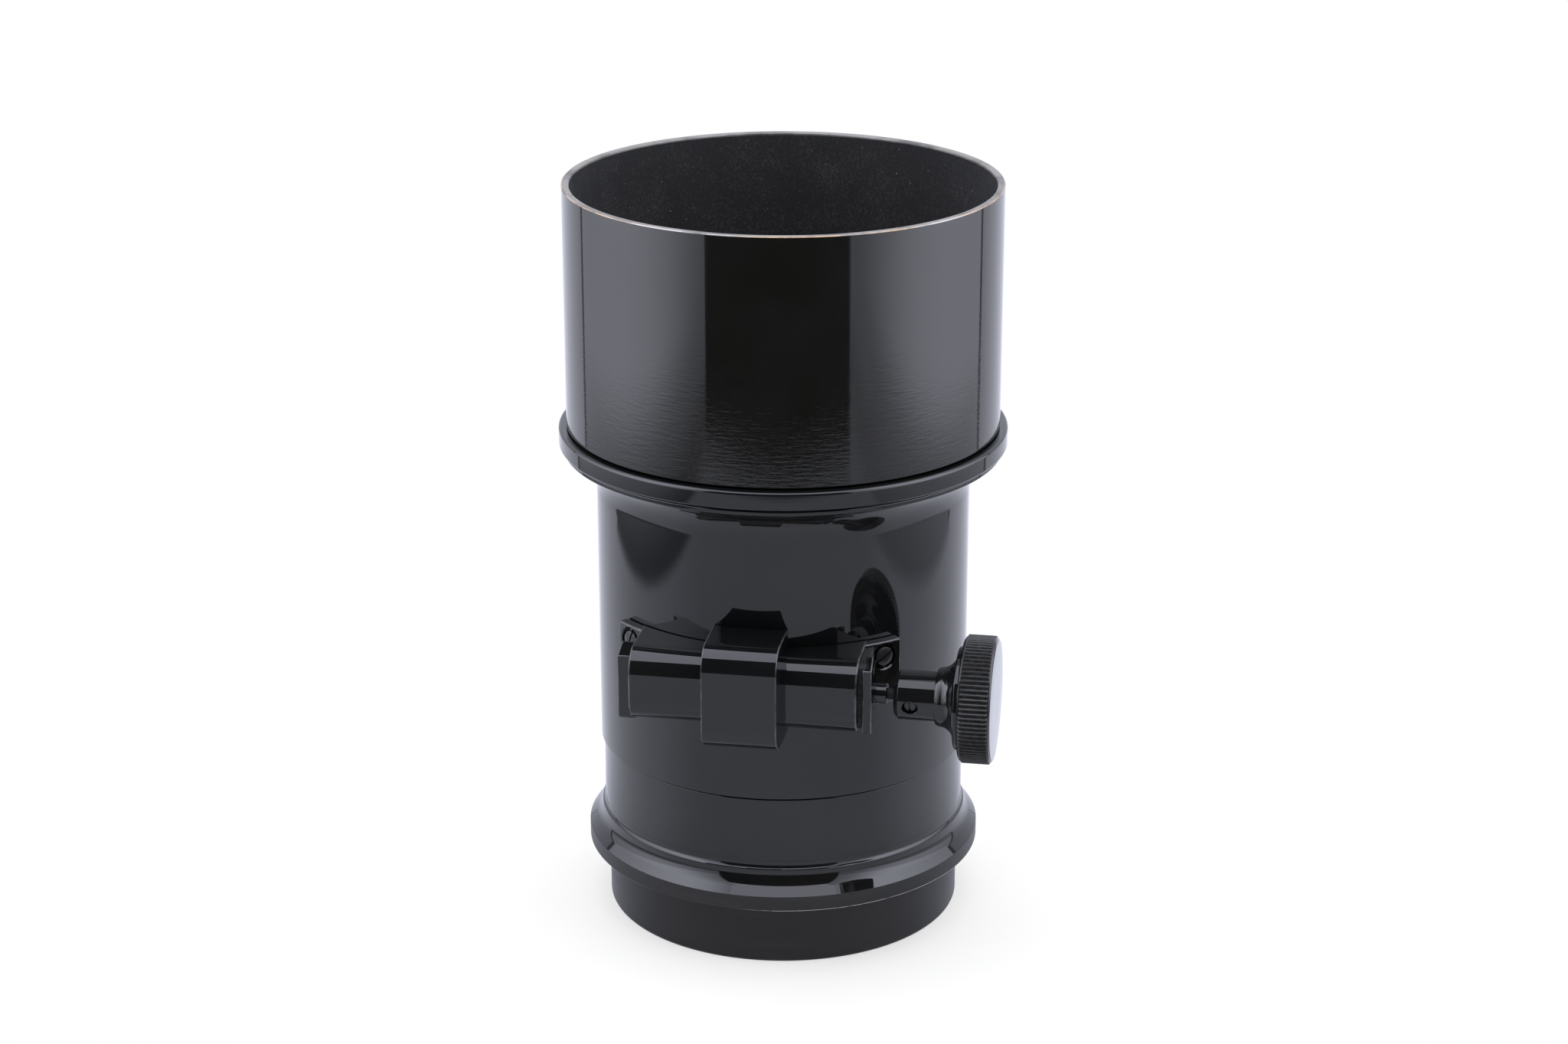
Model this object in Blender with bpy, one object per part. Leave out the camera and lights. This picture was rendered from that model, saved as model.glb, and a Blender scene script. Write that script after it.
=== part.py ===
"""Portrait lens with rack and pinion focusing, standing on its rear cap.

The optical axis is +Z, the focusing housing faces -Y and the knob is on +X.
The origin is the centre of the rear cap's underside.
"""
import math

import bmesh
import bpy
from mathutils import Matrix

MM = 0.001
FIT = 0.3 * MM                     # clearance between neighbouring pieces
EDGE = 0.2 * MM                    # broken edge on turned pieces
OVERRUN = 1.0 * MM                 # how far a cut runs past the wall it opens
OUTER_STEPS = 44                   # facets round the visible turned pieces
INNER_STEPS = 24                   # facets round the hidden turned pieces
SMALL_STEPS = 12                   # facets round shafts and screws
CURVE_STEPS = 5                    # facets along a moulded quarter round

# Rear cap and mount
CAP_RADIUS = 30.1 * MM
CAP_HEIGHT = 10.8 * MM
CAP_WALL = 1.8 * MM
CAP_FLOOR = 2.0 * MM
CAP_FOOT = 0.5 * MM                # bevel round the underside
CATCH_ANGLE = math.radians(47.0)
CATCH_GAP = 0.4 * MM               # between the cap's catches and the lugs
MOUNT_HEIGHT = 4.3 * MM
THROAT_WALL = 1.4 * MM
THROAT_DEPTH = 4.8 * MM
FLANGE_THICKNESS = 1.2 * MM
LUG_REACH = 2.8 * MM
LUG_CLEARANCE = 2.3 * MM           # between the lugs and the cap's wall
LUG_THICKNESS = 1.4 * MM
LUG_COUNT = 3
LUG_ANGLE = math.radians(52.0)
MOUNT_SCREW_COUNT = 3
MOUNT_SCREW_HEAD = 1.2 * MM
MOUNT_SCREW_HEAD_HEIGHT = 0.4 * MM
MOUNT_SCREW_SHANK = 0.7 * MM
MOUNT_SCREW_FLOOR = 1.7 * MM       # mount ring left above the screw tips

# Barrel
BEAD_HEIGHT = 7.8 * MM
BEAD_BAND = 3.7 * MM               # straight lower part of the bead
BEAD_OVERHANG = 2.75 * MM
BEAD_FILLET = 0.5 * MM             # hollow where the bead meets the collar
BEAD_NECK = 1.0 * MM               # height of that hollow
COLLAR_HEIGHT = 10.8 * MM
COLLAR_STEP = 0.5 * MM
SLEEVE_RADIUS = 31.3 * MM
SLEEVE_WALL = 1.25 * MM
TUBE_WALL = 1.75 * MM
TUBE_LIP = 2.25 * MM               # rear tube above the rack
TUBE_STEP = 0.6 * MM               # rear tube drawn in at its foot, inside and outside
COVE_HEIGHT = 3.8 * MM
COVE_LIP = 0.8 * MM
COVE_STEP = 0.5 * MM
COVE_INSET = 0.8 * MM              # cove lip inside the seat ring's edge
HOOD_RADIUS = 36.2 * MM
HOOD_WALL = 1.28 * MM
HOOD_HEIGHT = 40.7 * MM
RIM_EDGE = 0.3 * MM                # bevels on the hood's rim
RING_OVERHANG = 1.3 * MM
RING_HEIGHT = 3.05 * MM
RING_ROUND = 0.4 * MM
RING_SKIRT = 3.0 * MM              # seat ring below the top of the sleeve
SKIRT_WALL = 1.1 * MM
SPIGOT_HEIGHT = 6.0 * MM
SPIGOT_WALL = 1.4 * MM

# Optics
CROWN_CURVE = 60.0 * MM            # both faces of the front crown
CROWN_EDGE = 1.78 * MM
CROWN_RISE = 0.2 * MM              # front glass above the seat ring
CEMENT_GAP = 0.1 * MM
FLINT_THICKNESS = 2.2 * MM
FLINT_CURVE = 600.0 * MM
FRONT_LIP = 1.3 * MM               # cell lip over the front pair's edge
FRONT_LIP_THICKNESS = 1.2 * MM
CELL_WALL = 2.5 * MM
CELL_DEPTH = 5.5 * MM              # front cell's shoulder below the seat ring
FILTER_RISE = 3.2 * MM             # filter ring above the seat ring
FILTER_WALL = 1.6 * MM
FILTER_STEP = 0.65 * MM
FILTER_FLOOR = 1.3 * MM
FILTER_GAP = 2.62 * MM             # between the filter ring and the hood's spigot
RETAINER_HEIGHT = 0.9 * MM
BARREL_WALL = 1.8 * MM
BARREL_GAP = 2.6 * MM              # between the inner barrel and the rear tube
BARREL_RISE = 1.5 * MM             # inner barrel above the collar
REAR_CELL_WALL = 4.2 * MM
REAR_CELL_RIM = 1.6 * MM
REAR_LIP = 1.4 * MM
REAR_LIP_THICKNESS = 1.3 * MM
REAR_FLINT_FRONT = 120.0 * MM
REAR_FLINT_BACK = 48.0 * MM
REAR_FLINT_THICKNESS = 1.8 * MM
REAR_AIR_GAP = 2.5 * MM
REAR_CROWN_FRONT = 60.0 * MM
REAR_CROWN_BACK = 80.0 * MM
REAR_CROWN_EDGE = 1.74 * MM
REAR_RETAINER_HEIGHT = 1.2 * MM
REAR_RETAINER_RISE = 0.35 * MM     # above the inner barrel's lower edge
SPACER_WIDTH = 1.6 * MM
STOP_SLOT_WIDTH = 40.0 * MM
STOP_SLOT_HEIGHT = 2.2 * MM
STOP_SLOT_RISE = 2.4 * MM          # slot above the rear tube
STOP_CLEARANCE = 1.85 * MM         # front cell above the slot

# Rack and pinion
TOOTH_MODULE = 0.6 * MM
PINION_TEETH = 12
PINION_WIDTH = 5.0 * MM
PINION_RISE = 20.8 * MM            # pinion axis above the sleeve's lower edge
PINION_ADDENDUM = 0.8              # tooth heights in modules
PINION_DEDENDUM = 1.05
RACK_ADDENDUM = 0.75
RACK_DEDENDUM = 1.1
RACK_LEAD = 2.5                    # pitches of rack below the pinion axis
RACK_SINK = 0.35 * MM              # rack teeth inside the rear tube's surface
RACK_BACK = 1.4 * MM
RACK_FOOT = 1.6 * MM
RACK_HEAD = 0.6 * MM
RACK_MARGIN = 0.2 * MM             # rack wider than the pinion on each side
PRESSURE_ANGLE = math.radians(20.0)
FOCUS_TRAVEL = 8.5 * MM
BACKLASH = 0.16 * MM               # taken off each tooth's width at the pitch line
SHAFT_RADIUS = 1.65 * MM
BUSH_WALL = 0.6 * MM
BUSH_LENGTH = 6.2 * MM
CHAMBER_GAP = 0.5 * MM             # round the pinion's teeth
CHAMBER_END_GAP = 0.7 * MM
WINDOW_GAP = 0.6 * MM              # sleeve window round the pinion
SHAFT_GAP = 0.45 * MM              # sleeve window round the shaft

# Focusing housing, measured from the pinion axis
BAR_LENGTH = 37.5 * MM
BAR_HEIGHT = 12.4 * MM
BAR_REACH = 5.15 * MM
BAR_ROUND = 4.1 * MM
BLOCK_WIDTH = 12.2 * MM
BLOCK_REACH = 9.75 * MM
BLOCK_RISE = 9.3 * MM
BLOCK_DROP = 6.5 * MM
BLOCK_ROUND = 4.1 * MM
BLOCK_FOOT = 0.4 * MM
PLATE_THICKNESS = 1.8 * MM
PLATE_TAPER = 0.9 * MM
PLATE_REACH = 3.5 * MM
PLATE_HEIGHT = 11.5 * MM
SADDLE_THICKNESS = 1.6 * MM
SADDLE_RISE = 6.1 * MM
SADDLE_DROP = 4.8 * MM
SADDLE_MARGIN = 2.36 * MM          # saddle beyond its screws
HOUSING_ROUND = 0.3 * MM
EAR_SCREW_OFFSET = 0.57 * MM       # ear screws outside the end plates
EAR_SCREW_RISE = 3.5 * MM
EAR_SCREW_HEAD = 1.35 * MM
EAR_SCREW_SHANK = 0.75 * MM
EAR_RECESS = 0.9 * MM
EAR_RECESS_GAP = 0.4 * MM

# Knob, measured along the pinion axis
STUB_LENGTH = 3.35 * MM
HUB_RADIUS = 4.0 * MM
HUB_LENGTH = 6.65 * MM
HUB_NOSE = 0.75 * MM
TRUMPET_LENGTH = 3.7 * MM
TRUMPET_NECK = 0.5 * MM
FLARE_STEP = 0.8 * MM
SHAFT_BITE = 1.5 * MM              # shaft bore beyond the hub
DISC_STEP = 2.0 * MM               # disc inside the knurled rim
DISC_THICKNESS = 0.95 * MM
RIM_RADIUS = 10.3 * MM
RIM_WIDTH = 4.85 * MM
RIM_CHAMFER = 0.4 * MM
KNURL_COUNT = 76
KNURL_DEPTH = 0.28 * MM
SET_SCREW_RADIUS = 1.0 * MM
SET_SCREW_GAP = 0.2 * MM
SET_SCREW_INSET = 2.75 * MM         # set screw beyond the hub's nose
SET_SCREW_SINK = 0.15 * MM
SET_SCREW_ANGLE = math.radians(99.9)

# Radii from the optical axis, from the sleeve inwards
sleeveBore = SLEEVE_RADIUS - SLEEVE_WALL
tubeRadius = sleeveBore - FIT
tubeBore = tubeRadius - TUBE_WALL
barrelRadius = tubeBore - BARREL_GAP
barrelBore = barrelRadius - BARREL_WALL
neckRadius = barrelBore - FIT
glassBore = neckRadius - CELL_WALL
glassRadius = glassBore - FIT
rearBore = neckRadius - REAR_CELL_WALL
rearRadius = rearBore - FIT

# Radii of the hood and what stands inside it
hoodBore = HOOD_RADIUS - HOOD_WALL
hoodSpigot = hoodBore - FIT
spigotBore = hoodSpigot - SPIGOT_WALL
filterOuter = spigotBore - FILTER_GAP
filterRadius = filterOuter - FILTER_WALL
cellRadius = min(tubeRadius - SKIRT_WALL - FIT, filterRadius - FILTER_STEP)   # passes the skirt and the ring
ringRadius = HOOD_RADIUS + RING_OVERHANG

# Radii of the foot, the mount and the cap
collarRadius = SLEEVE_RADIUS - COLLAR_STEP
beadRadius = collarRadius + BEAD_OVERHANG
spigotRadius = tubeRadius - TUBE_STEP
tubeFoot = tubeBore - TUBE_STEP
mountRadius = tubeFoot - FIT
capBore = CAP_RADIUS - CAP_WALL
lugRadius = capBore - LUG_CLEARANCE
throatOuter = lugRadius - LUG_REACH
throatRadius = throatOuter - THROAT_WALL
flangeRadius = capBore - FIT

# Rack and pinion mesh
toothPitch = math.pi * TOOTH_MODULE
pitchRadius = TOOTH_MODULE * PINION_TEETH / 2
pinionTip = pitchRadius + PINION_ADDENDUM * TOOTH_MODULE
pinionRoot = pitchRadius - PINION_DEDENDUM * TOOTH_MODULE
rackTip = tubeRadius - RACK_SINK
rackPitch = rackTip - RACK_ADDENDUM * TOOTH_MODULE
rackRoot = rackPitch - RACK_DEDENDUM * TOOTH_MODULE
rackBack = rackRoot - RACK_BACK
rackHalf = PINION_WIDTH / 2 + RACK_MARGIN
pinionReach = rackPitch + pitchRadius
chamberHalf = PINION_WIDTH / 2 + CHAMBER_END_GAP
chamberRadius = pinionTip + CHAMBER_GAP


def sag(radius, curve):
    """Height of a lens surface above its vertex, negative where the edge falls away."""
    return math.copysign(abs(curve) - math.sqrt(curve * curve - radius * radius), curve)


# Heights up the optical axis
beadBase = CAP_HEIGHT + FIT
mountTop = beadBase + MOUNT_HEIGHT
beadTop = beadBase + BEAD_HEIGHT
collarBase = beadTop + FIT
collarTop = collarBase + COLLAR_HEIGHT
sleeveBase = collarTop + FIT
barrelBase = collarTop + BARREL_RISE
pinionHeight = sleeveBase + PINION_RISE
rackTeeth = math.ceil(FOCUS_TRAVEL / toothPitch + RACK_LEAD + 0.5) + 1
rackStart = pinionHeight - RACK_LEAD * toothPitch
rackLow = rackStart - RACK_FOOT
rackHigh = rackStart + rackTeeth * toothPitch + RACK_HEAD
tubeTop = rackHigh + FIT + TUBE_LIP
slotBase = tubeTop + STOP_SLOT_RISE
slotTop = slotBase + STOP_SLOT_HEIGHT
cellBase = slotTop + STOP_CLEARANCE
cellFloor = cellBase + FRONT_LIP_THICKNESS
flintBack = cellFloor + FIT
flintVertex = flintBack + FLINT_THICKNESS
crownBack = flintVertex + CEMENT_GAP
crownVertex = crownBack + 2 * sag(glassRadius, CROWN_CURVE) + CROWN_EDGE
ringTop = crownVertex - CROWN_RISE
ringBase = ringTop - RING_HEIGHT
sleeveTop = ringBase - FIT
hoodBase = ringTop + FIT

# Lengths along the pinion axis
plateInner = BAR_LENGTH / 2
plateOuter = plateInner + PLATE_THICKNESS
hubStart = plateOuter + STUB_LENGTH
hubEnd = hubStart + HUB_LENGTH
boreEnd = hubEnd + SHAFT_BITE
trumpetEnd = hubEnd + TRUMPET_LENGTH
discEnd = trumpetEnd + DISC_THICKNESS
rimEnd = discEnd + RIM_WIDTH
boreRadius = SHAFT_RADIUS + FIT
bushRadius = boreRadius + BUSH_WALL
bushSeat = bushRadius + FIT

FINISHES = {
    "lacquer": ((0.012, 0.012, 0.013), 0.14, 0.0),
    "matte": ((0.015, 0.015, 0.015), 0.7, 0.0),
    "plastic": ((0.02, 0.02, 0.021), 0.5, 0.0),
    "brass": ((0.72, 0.52, 0.24), 0.28, 1.0),
    "steel": ((0.55, 0.55, 0.56), 0.3, 1.0),
    "blackened": ((0.03, 0.03, 0.032), 0.32, 1.0),
    "chrome": ((0.78, 0.78, 0.79), 0.12, 1.0),
    "glass": ((0.86, 0.92, 0.9), 0.02, 0.0),
}

for old in list(bpy.data.objects):
    bpy.data.objects.remove(old, do_unlink=True)


def empty(name, location, parent=None):
    marker = bpy.data.objects.new(name, None)
    bpy.context.scene.collection.objects.link(marker)
    marker.location = location
    marker.parent = parent
    return marker


def linked(name, bm, parent):
    mesh = bpy.data.meshes.new(name)
    bm.to_mesh(mesh)
    bm.free()
    made = bpy.data.objects.new(name, mesh)
    bpy.context.scene.collection.objects.link(made)
    made.parent = parent
    return made


def piece(name, bm, finish, parent):
    """A solid of its own, with its finish."""
    bmesh.ops.recalc_face_normals(bm, faces=bm.faces[:])
    made = linked(name, bm, parent)
    colour, roughness, metallic = FINISHES[finish]
    skin = bpy.data.materials.new(name + "_" + finish)
    skin.use_nodes = True
    shader = skin.node_tree.nodes["Principled BSDF"]
    shader.inputs["Base Color"].default_value = (*colour, 1.0)
    shader.inputs["Roughness"].default_value = roughness
    shader.inputs["Metallic"].default_value = metallic
    made.data.materials.append(skin)
    for face in made.data.polygons:
        face.use_smooth = True
    return made


def tool(name, bm, parent):
    """A hidden shape that other pieces are cut with or built up from."""
    bmesh.ops.recalc_face_normals(bm, faces=bm.faces[:])
    made = linked(name, bm, parent)
    made.hide_render = True
    made.display_type = "WIRE"
    return made


def turned(name, profile, finish, parent, steps=INNER_STEPS, ring=True):
    """Lathe a (radius, height) outline that runs down its outer side."""
    bm = bmesh.new()
    points = [bm.verts.new((radius, 0.0, height)) for radius, height in profile]
    for first, second in zip(points, points[1:]):
        bm.edges.new((first, second))
    if ring:
        bm.edges.new((points[-1], points[0]))
    made = piece(name, bm, finish, parent)
    lathe = made.modifiers.new("lathe", "SCREW")
    lathe.steps = steps
    lathe.render_steps = steps
    lathe.use_merge_vertices = True
    lathe.merge_threshold = 0.00001
    lathe.use_smooth_shade = True
    return made


def combine(target, operand, operation):
    step = target.modifiers.new(operand.name, "BOOLEAN")
    step.operation = operation
    step.solver = "EXACT"
    step.object = operand


def softened(shape, width):
    bevel = shape.modifiers.new("soft_edges", "BEVEL")
    bevel.width = width
    bevel.segments = 2
    bevel.limit_method = "ANGLE"
    bevel.angle_limit = math.radians(50)
    return shape


def skinLoops(bm, loops, ring=False):
    """Join loops of equal count with quads, and either cap the ends or close round."""
    count = len(loops[0])
    pairs = list(zip(loops, loops[1:]))
    if ring:
        pairs.append((loops[-1], loops[0]))
    else:
        bm.faces.new(loops[0][::-1])
        bm.faces.new(loops[-1])
    for lower, upper in pairs:
        for i in range(count):
            j = (i + 1) % count
            bm.faces.new((lower[i], lower[j], upper[j], upper[i]))


def addRod(bm, profile, placing=Matrix(), steps=SMALL_STEPS):
    """Add a solid of (radius, height) steps about the placing's Z axis."""
    turns = [2 * math.pi * i / steps for i in range(steps)]
    loops = []
    for radius, height in profile:
        spots = [Matrix.Translation((radius * math.cos(a), radius * math.sin(a), height)) for a in turns]
        loops.append([bm.verts.new((placing @ spot).translation) for spot in spots])
    skinLoops(bm, loops)


def addSector(bm, inner, outer, base, top, middle, spread, steps=8):
    """Add part of a ring, centred on an angle about the optical axis."""
    corners = ((inner, base), (outer, base), (outer, top), (inner, top))
    loops = []
    for i in range(steps + 1):
        angle = middle - spread / 2 + spread * i / steps
        loops.append([bm.verts.new((r * math.cos(angle), r * math.sin(angle), z)) for r, z in corners])
    skinLoops(bm, loops)


def addBar(bm, outline, start, end):
    """Extrude a (y, z) outline along X."""
    skinLoops(bm, [[bm.verts.new((x, y, z)) for y, z in outline] for x in (start, end)])


def addSlab(bm, outline, base, top):
    """Extrude an (x, y) outline up Z."""
    skinLoops(bm, [[bm.verts.new((x, y, z)) for x, y in outline] for z in (base, top)])


def box(nearY, farY, base, top):
    """Corners of a (y, z) rectangle."""
    return [(nearY, base), (farY, base), (farY, top), (nearY, top)]


def arc(centre, radius, start, end, steps=CURVE_STEPS):
    """Points on an arc in the outline plane, angles in degrees."""
    turns = [math.radians(start + (end - start) * i / steps) for i in range(steps + 1)]
    return [(centre[0] + radius * math.cos(a), centre[1] + radius * math.sin(a)) for a in turns]


def lensBody(radius, frontCurve, frontVertex, backCurve, backVertex, steps=4):
    """Outline of a lens from the middle of its front to the middle of its back."""
    stations = [radius * i / steps for i in range(steps + 1)]
    front = [(r, frontVertex + sag(r, frontCurve)) for r in stations]
    back = [(r, backVertex + sag(r, backCurve)) for r in stations]
    return front + back[::-1]


fixed = empty("rear_group", (0, 0, 0))
capAxis = empty("cap_axis", (0, 0, 0), fixed)
carriage = empty("focus_carriage", (0, 0, 0), fixed)
hoodSeat = empty("hood_seat", (0, 0, hoodBase), carriage)
pinionAxis = empty("pinion_axis", (0, -pinionReach, pinionHeight), carriage)

# Rear cap: a cup with catches inside its wall
flangeBase = CAP_HEIGHT - FLANGE_THICKNESS
throatBase = flangeBase - THROAT_DEPTH
lugTop = throatBase + LUG_THICKNESS
catchBase = lugTop + CATCH_GAP
rearCap = turned("rear_cap", [
    (0, CAP_FLOOR), (capBore, CAP_FLOOR), (capBore, CAP_HEIGHT), (CAP_RADIUS - EDGE, CAP_HEIGHT),
    (CAP_RADIUS, CAP_HEIGHT - EDGE), (CAP_RADIUS, CAP_FOOT), (CAP_RADIUS - CAP_FOOT, 0), (0, 0),
], "plastic", capAxis, OUTER_STEPS, ring=False)
catches = bmesh.new()
for i in range(LUG_COUNT):
    addSector(catches, throatOuter + 3 * FIT, capBore + CAP_WALL / 2, catchBase, catchBase + LUG_THICKNESS,
              2 * math.pi * i / LUG_COUNT, CATCH_ANGLE)
combine(rearCap, tool("cap_catches", catches, capAxis), "UNION")

# Mount ring and bayonet
mountRing = turned("mount_ring", [
    (mountRadius, mountTop), (mountRadius, beadBase), (throatRadius, beadBase), (throatRadius, mountTop),
], "matte", fixed)
bayonet = turned("bayonet", [
    (flangeRadius, CAP_HEIGHT), (flangeRadius, flangeBase), (throatOuter, flangeBase),
    (throatOuter, throatBase), (throatRadius, throatBase), (throatRadius, CAP_HEIGHT),
], "chrome", fixed)
lugs = bmesh.new()
for i in range(LUG_COUNT):
    addSector(lugs, throatOuter - THROAT_WALL / 3, lugRadius, throatBase, lugTop,
              2 * math.pi * i / LUG_COUNT, LUG_ANGLE)
combine(bayonet, tool("bayonet_lugs", lugs, fixed), "UNION")
mountHoles = bmesh.new()
screwCircle = (throatRadius + mountRadius) / 2
screwTip = mountTop - MOUNT_SCREW_FLOOR
headTop = flangeBase + MOUNT_SCREW_HEAD_HEIGHT
for i in range(MOUNT_SCREW_COUNT):
    angle = 2 * math.pi * (i + 0.5) / MOUNT_SCREW_COUNT
    spot = Matrix.Translation((screwCircle * math.cos(angle), screwCircle * math.sin(angle), 0))
    headHole = MOUNT_SCREW_HEAD + FIT
    shankHole = MOUNT_SCREW_SHANK + FIT
    addRod(mountHoles, [(headHole, flangeBase - FIT), (headHole, headTop + FIT),
                        (shankHole, headTop + FIT), (shankHole, screwTip + FIT)], spot)
    screw = bmesh.new()
    addRod(screw, [(MOUNT_SCREW_HEAD, flangeBase), (MOUNT_SCREW_HEAD, headTop),
                   (MOUNT_SCREW_SHANK, headTop), (MOUNT_SCREW_SHANK, screwTip)], spot)
    piece("mount_screw_%d" % (i + 1), screw, "steel", fixed)
mountHoles = tool("mount_screw_holes", mountHoles, fixed)
combine(bayonet, mountHoles, "DIFFERENCE")
combine(mountRing, mountHoles, "DIFFERENCE")

# Bead: a hollow under the collar, a quarter round and a straight band
beadEdge = beadBase + BEAD_BAND
beadNeck = collarRadius + BEAD_FILLET
beadCrown = beadTop - BEAD_NECK - 4 * EDGE
bead = [(spigotRadius + FIT, beadTop), (collarRadius + EDGE / 4, beadTop),
        (collarRadius + BEAD_FILLET * 0.6, beadTop - BEAD_NECK * 0.7),
        (beadNeck, beadTop - BEAD_NECK), (beadNeck + EDGE, beadCrown + EDGE)]
for i in range(1, CURVE_STEPS + 1):
    turn = math.pi / 2 * (1 - i / CURVE_STEPS)
    bead.append((beadNeck + (beadRadius - beadNeck) * math.cos(turn),
                 beadEdge + (beadCrown - beadEdge) * math.sin(turn)))
bead += [(beadRadius, beadBase + EDGE), (beadRadius - EDGE, beadBase), (spigotRadius + FIT, beadBase)]
turned("flange_bead", bead, "lacquer", fixed, OUTER_STEPS)
rearTube = turned("rear_tube", [
    (tubeRadius, tubeTop), (tubeRadius, collarTop), (collarRadius, collarTop), (collarRadius, collarBase),
    (spigotRadius, collarBase), (spigotRadius, beadBase), (tubeFoot, beadBase), (tubeFoot, collarBase),
    (tubeBore, collarBase), (tubeBore, tubeTop),
], "lacquer", fixed, OUTER_STEPS)

# Rack let into the front of the rear tube
slope = TOOTH_MODULE * math.tan(PRESSURE_ANGLE)
lineHalf = toothPitch / 4 - BACKLASH / 2
tipHalf = lineHalf - RACK_ADDENDUM * slope
rootHalf = lineHalf + RACK_DEDENDUM * slope
rack = [(-rackBack, rackLow), (-rackRoot, rackLow)]
for i in range(rackTeeth):
    middle = rackStart + (i + 0.5) * toothPitch
    rack += [(-rackRoot, middle - rootHalf), (-rackTip, middle - tipHalf),
             (-rackTip, middle + tipHalf), (-rackRoot, middle + rootHalf)]
rack += [(-rackRoot, rackHigh), (-rackBack, rackHigh)]
rackBar = bmesh.new()
addBar(rackBar, rack, -rackHalf, rackHalf)
piece("rack", rackBar, "brass", fixed)
rackSlot = bmesh.new()
addBar(rackSlot, box(OVERRUN - rackBack, -tubeRadius - OVERRUN, rackLow - FIT, rackHigh + FIT),
       -rackHalf - FIT, rackHalf + FIT)
combine(rearTube, tool("rack_slot", rackSlot, fixed), "DIFFERENCE")

# Outer sleeve with the cove that carries the seat ring
coveRadius = ringRadius - COVE_INSET
coveBase = sleeveTop - COVE_LIP - COVE_HEIGHT
coveRun = coveRadius - COVE_STEP - SLEEVE_RADIUS
sleeve = [(sleeveBore, sleeveTop), (coveRadius - EDGE, sleeveTop), (coveRadius, sleeveTop - EDGE),
          (coveRadius, sleeveTop - COVE_LIP), (coveRadius - COVE_STEP, sleeveTop - COVE_LIP)]
for i in range(1, CURVE_STEPS + 1):
    turn = math.pi / 2 * i / CURVE_STEPS
    sleeve.append((SLEEVE_RADIUS + coveRun * (1 - math.sin(turn)), coveBase + COVE_HEIGHT * math.cos(turn)))
sleeve += [(SLEEVE_RADIUS, sleeveBase), (sleeveBore, sleeveBase)]
outerSleeve = turned("outer_sleeve", sleeve, "lacquer", carriage, OUTER_STEPS)

# Window in the sleeve for the pinion and its shaft
windowHalf = pinionTip + WINDOW_GAP
shaftSide = pinionReach - SHAFT_RADIUS - SHAFT_GAP
windowSide = max(chamberHalf, max(0.0, SLEEVE_RADIUS ** 2 - shaftSide ** 2) ** 0.5)
window = bmesh.new()
addBar(window, box(-rackBack, -SLEEVE_RADIUS - OVERRUN, pinionHeight - windowHalf, pinionHeight + windowHalf),
       -windowSide, windowSide)
combine(outerSleeve, tool("pinion_window", window, carriage), "DIFFERENCE")

# Seat ring and hood
ledge = ringBase + RING_HEIGHT / 2
skirtBase = ringBase - RING_SKIRT
seatRing = [(hoodSpigot, ringTop + SPIGOT_HEIGHT), (hoodSpigot, ringTop), (ringRadius - RING_ROUND, ringTop)]
seatRing += arc((ringRadius - RING_ROUND, ringTop - RING_ROUND), RING_ROUND, 60, 0, 2)
seatRing += [(ringRadius, ringBase + EDGE), (ringRadius - EDGE, ringBase), (tubeRadius, ringBase),
             (tubeRadius, skirtBase), (cellRadius + FIT, skirtBase), (cellRadius + FIT, ledge),
             (spigotBore, ledge), (spigotBore, ringTop + SPIGOT_HEIGHT)]
turned("seat_ring", seatRing, "lacquer", carriage, OUTER_STEPS)
rimBase = HOOD_HEIGHT - RIM_EDGE
turned("hood", [
    (HOOD_RADIUS - RIM_EDGE, HOOD_HEIGHT), (HOOD_RADIUS, rimBase), (HOOD_RADIUS, EDGE),
    (HOOD_RADIUS - EDGE, 0), (hoodBore, 0), (hoodBore, rimBase), (hoodBore + RIM_EDGE, HOOD_HEIGHT),
], "lacquer", hoodSeat, OUTER_STEPS)

# Front cell and its cemented pair
cellStep = ringBase - CELL_DEPTH
cellTop = ringTop + FILTER_RISE
filterFloor = ledge + FILTER_FLOOR
frontLip = glassRadius - FRONT_LIP
crownEdge = crownVertex + sag(glassRadius, -CROWN_CURVE)
turned("front_cell", [
    (filterOuter, cellTop), (filterOuter, ledge + FIT), (cellRadius, ledge + FIT), (cellRadius, cellStep),
    (neckRadius, cellStep), (neckRadius, cellBase), (frontLip, cellBase), (frontLip, cellFloor),
    (glassBore, cellFloor), (glassBore, max(ledge, crownEdge) - FIT), (filterRadius, filterFloor),
    (filterRadius, cellTop),
], "matte", carriage)
turned("front_crown", lensBody(glassRadius, -CROWN_CURVE, crownVertex, CROWN_CURVE, crownBack),
       "glass", carriage, ring=False)
turned("front_flint", lensBody(glassRadius, CROWN_CURVE, flintVertex, FLINT_CURVE, flintBack),
       "glass", carriage, ring=False)
skirtRadius = frontLip
skirtFoot = crownVertex + sag(skirtRadius, -CROWN_CURVE) + FIT
retainerBase = filterFloor + FIT
retainerTop = retainerBase + RETAINER_HEIGHT
turned("front_retainer", [
    (filterRadius - FIT, retainerTop), (filterRadius - FIT, retainerBase), (glassRadius, retainerBase),
    (glassRadius, skirtFoot), (skirtRadius, skirtFoot), (skirtRadius, retainerTop),
], "matte", carriage)

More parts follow.
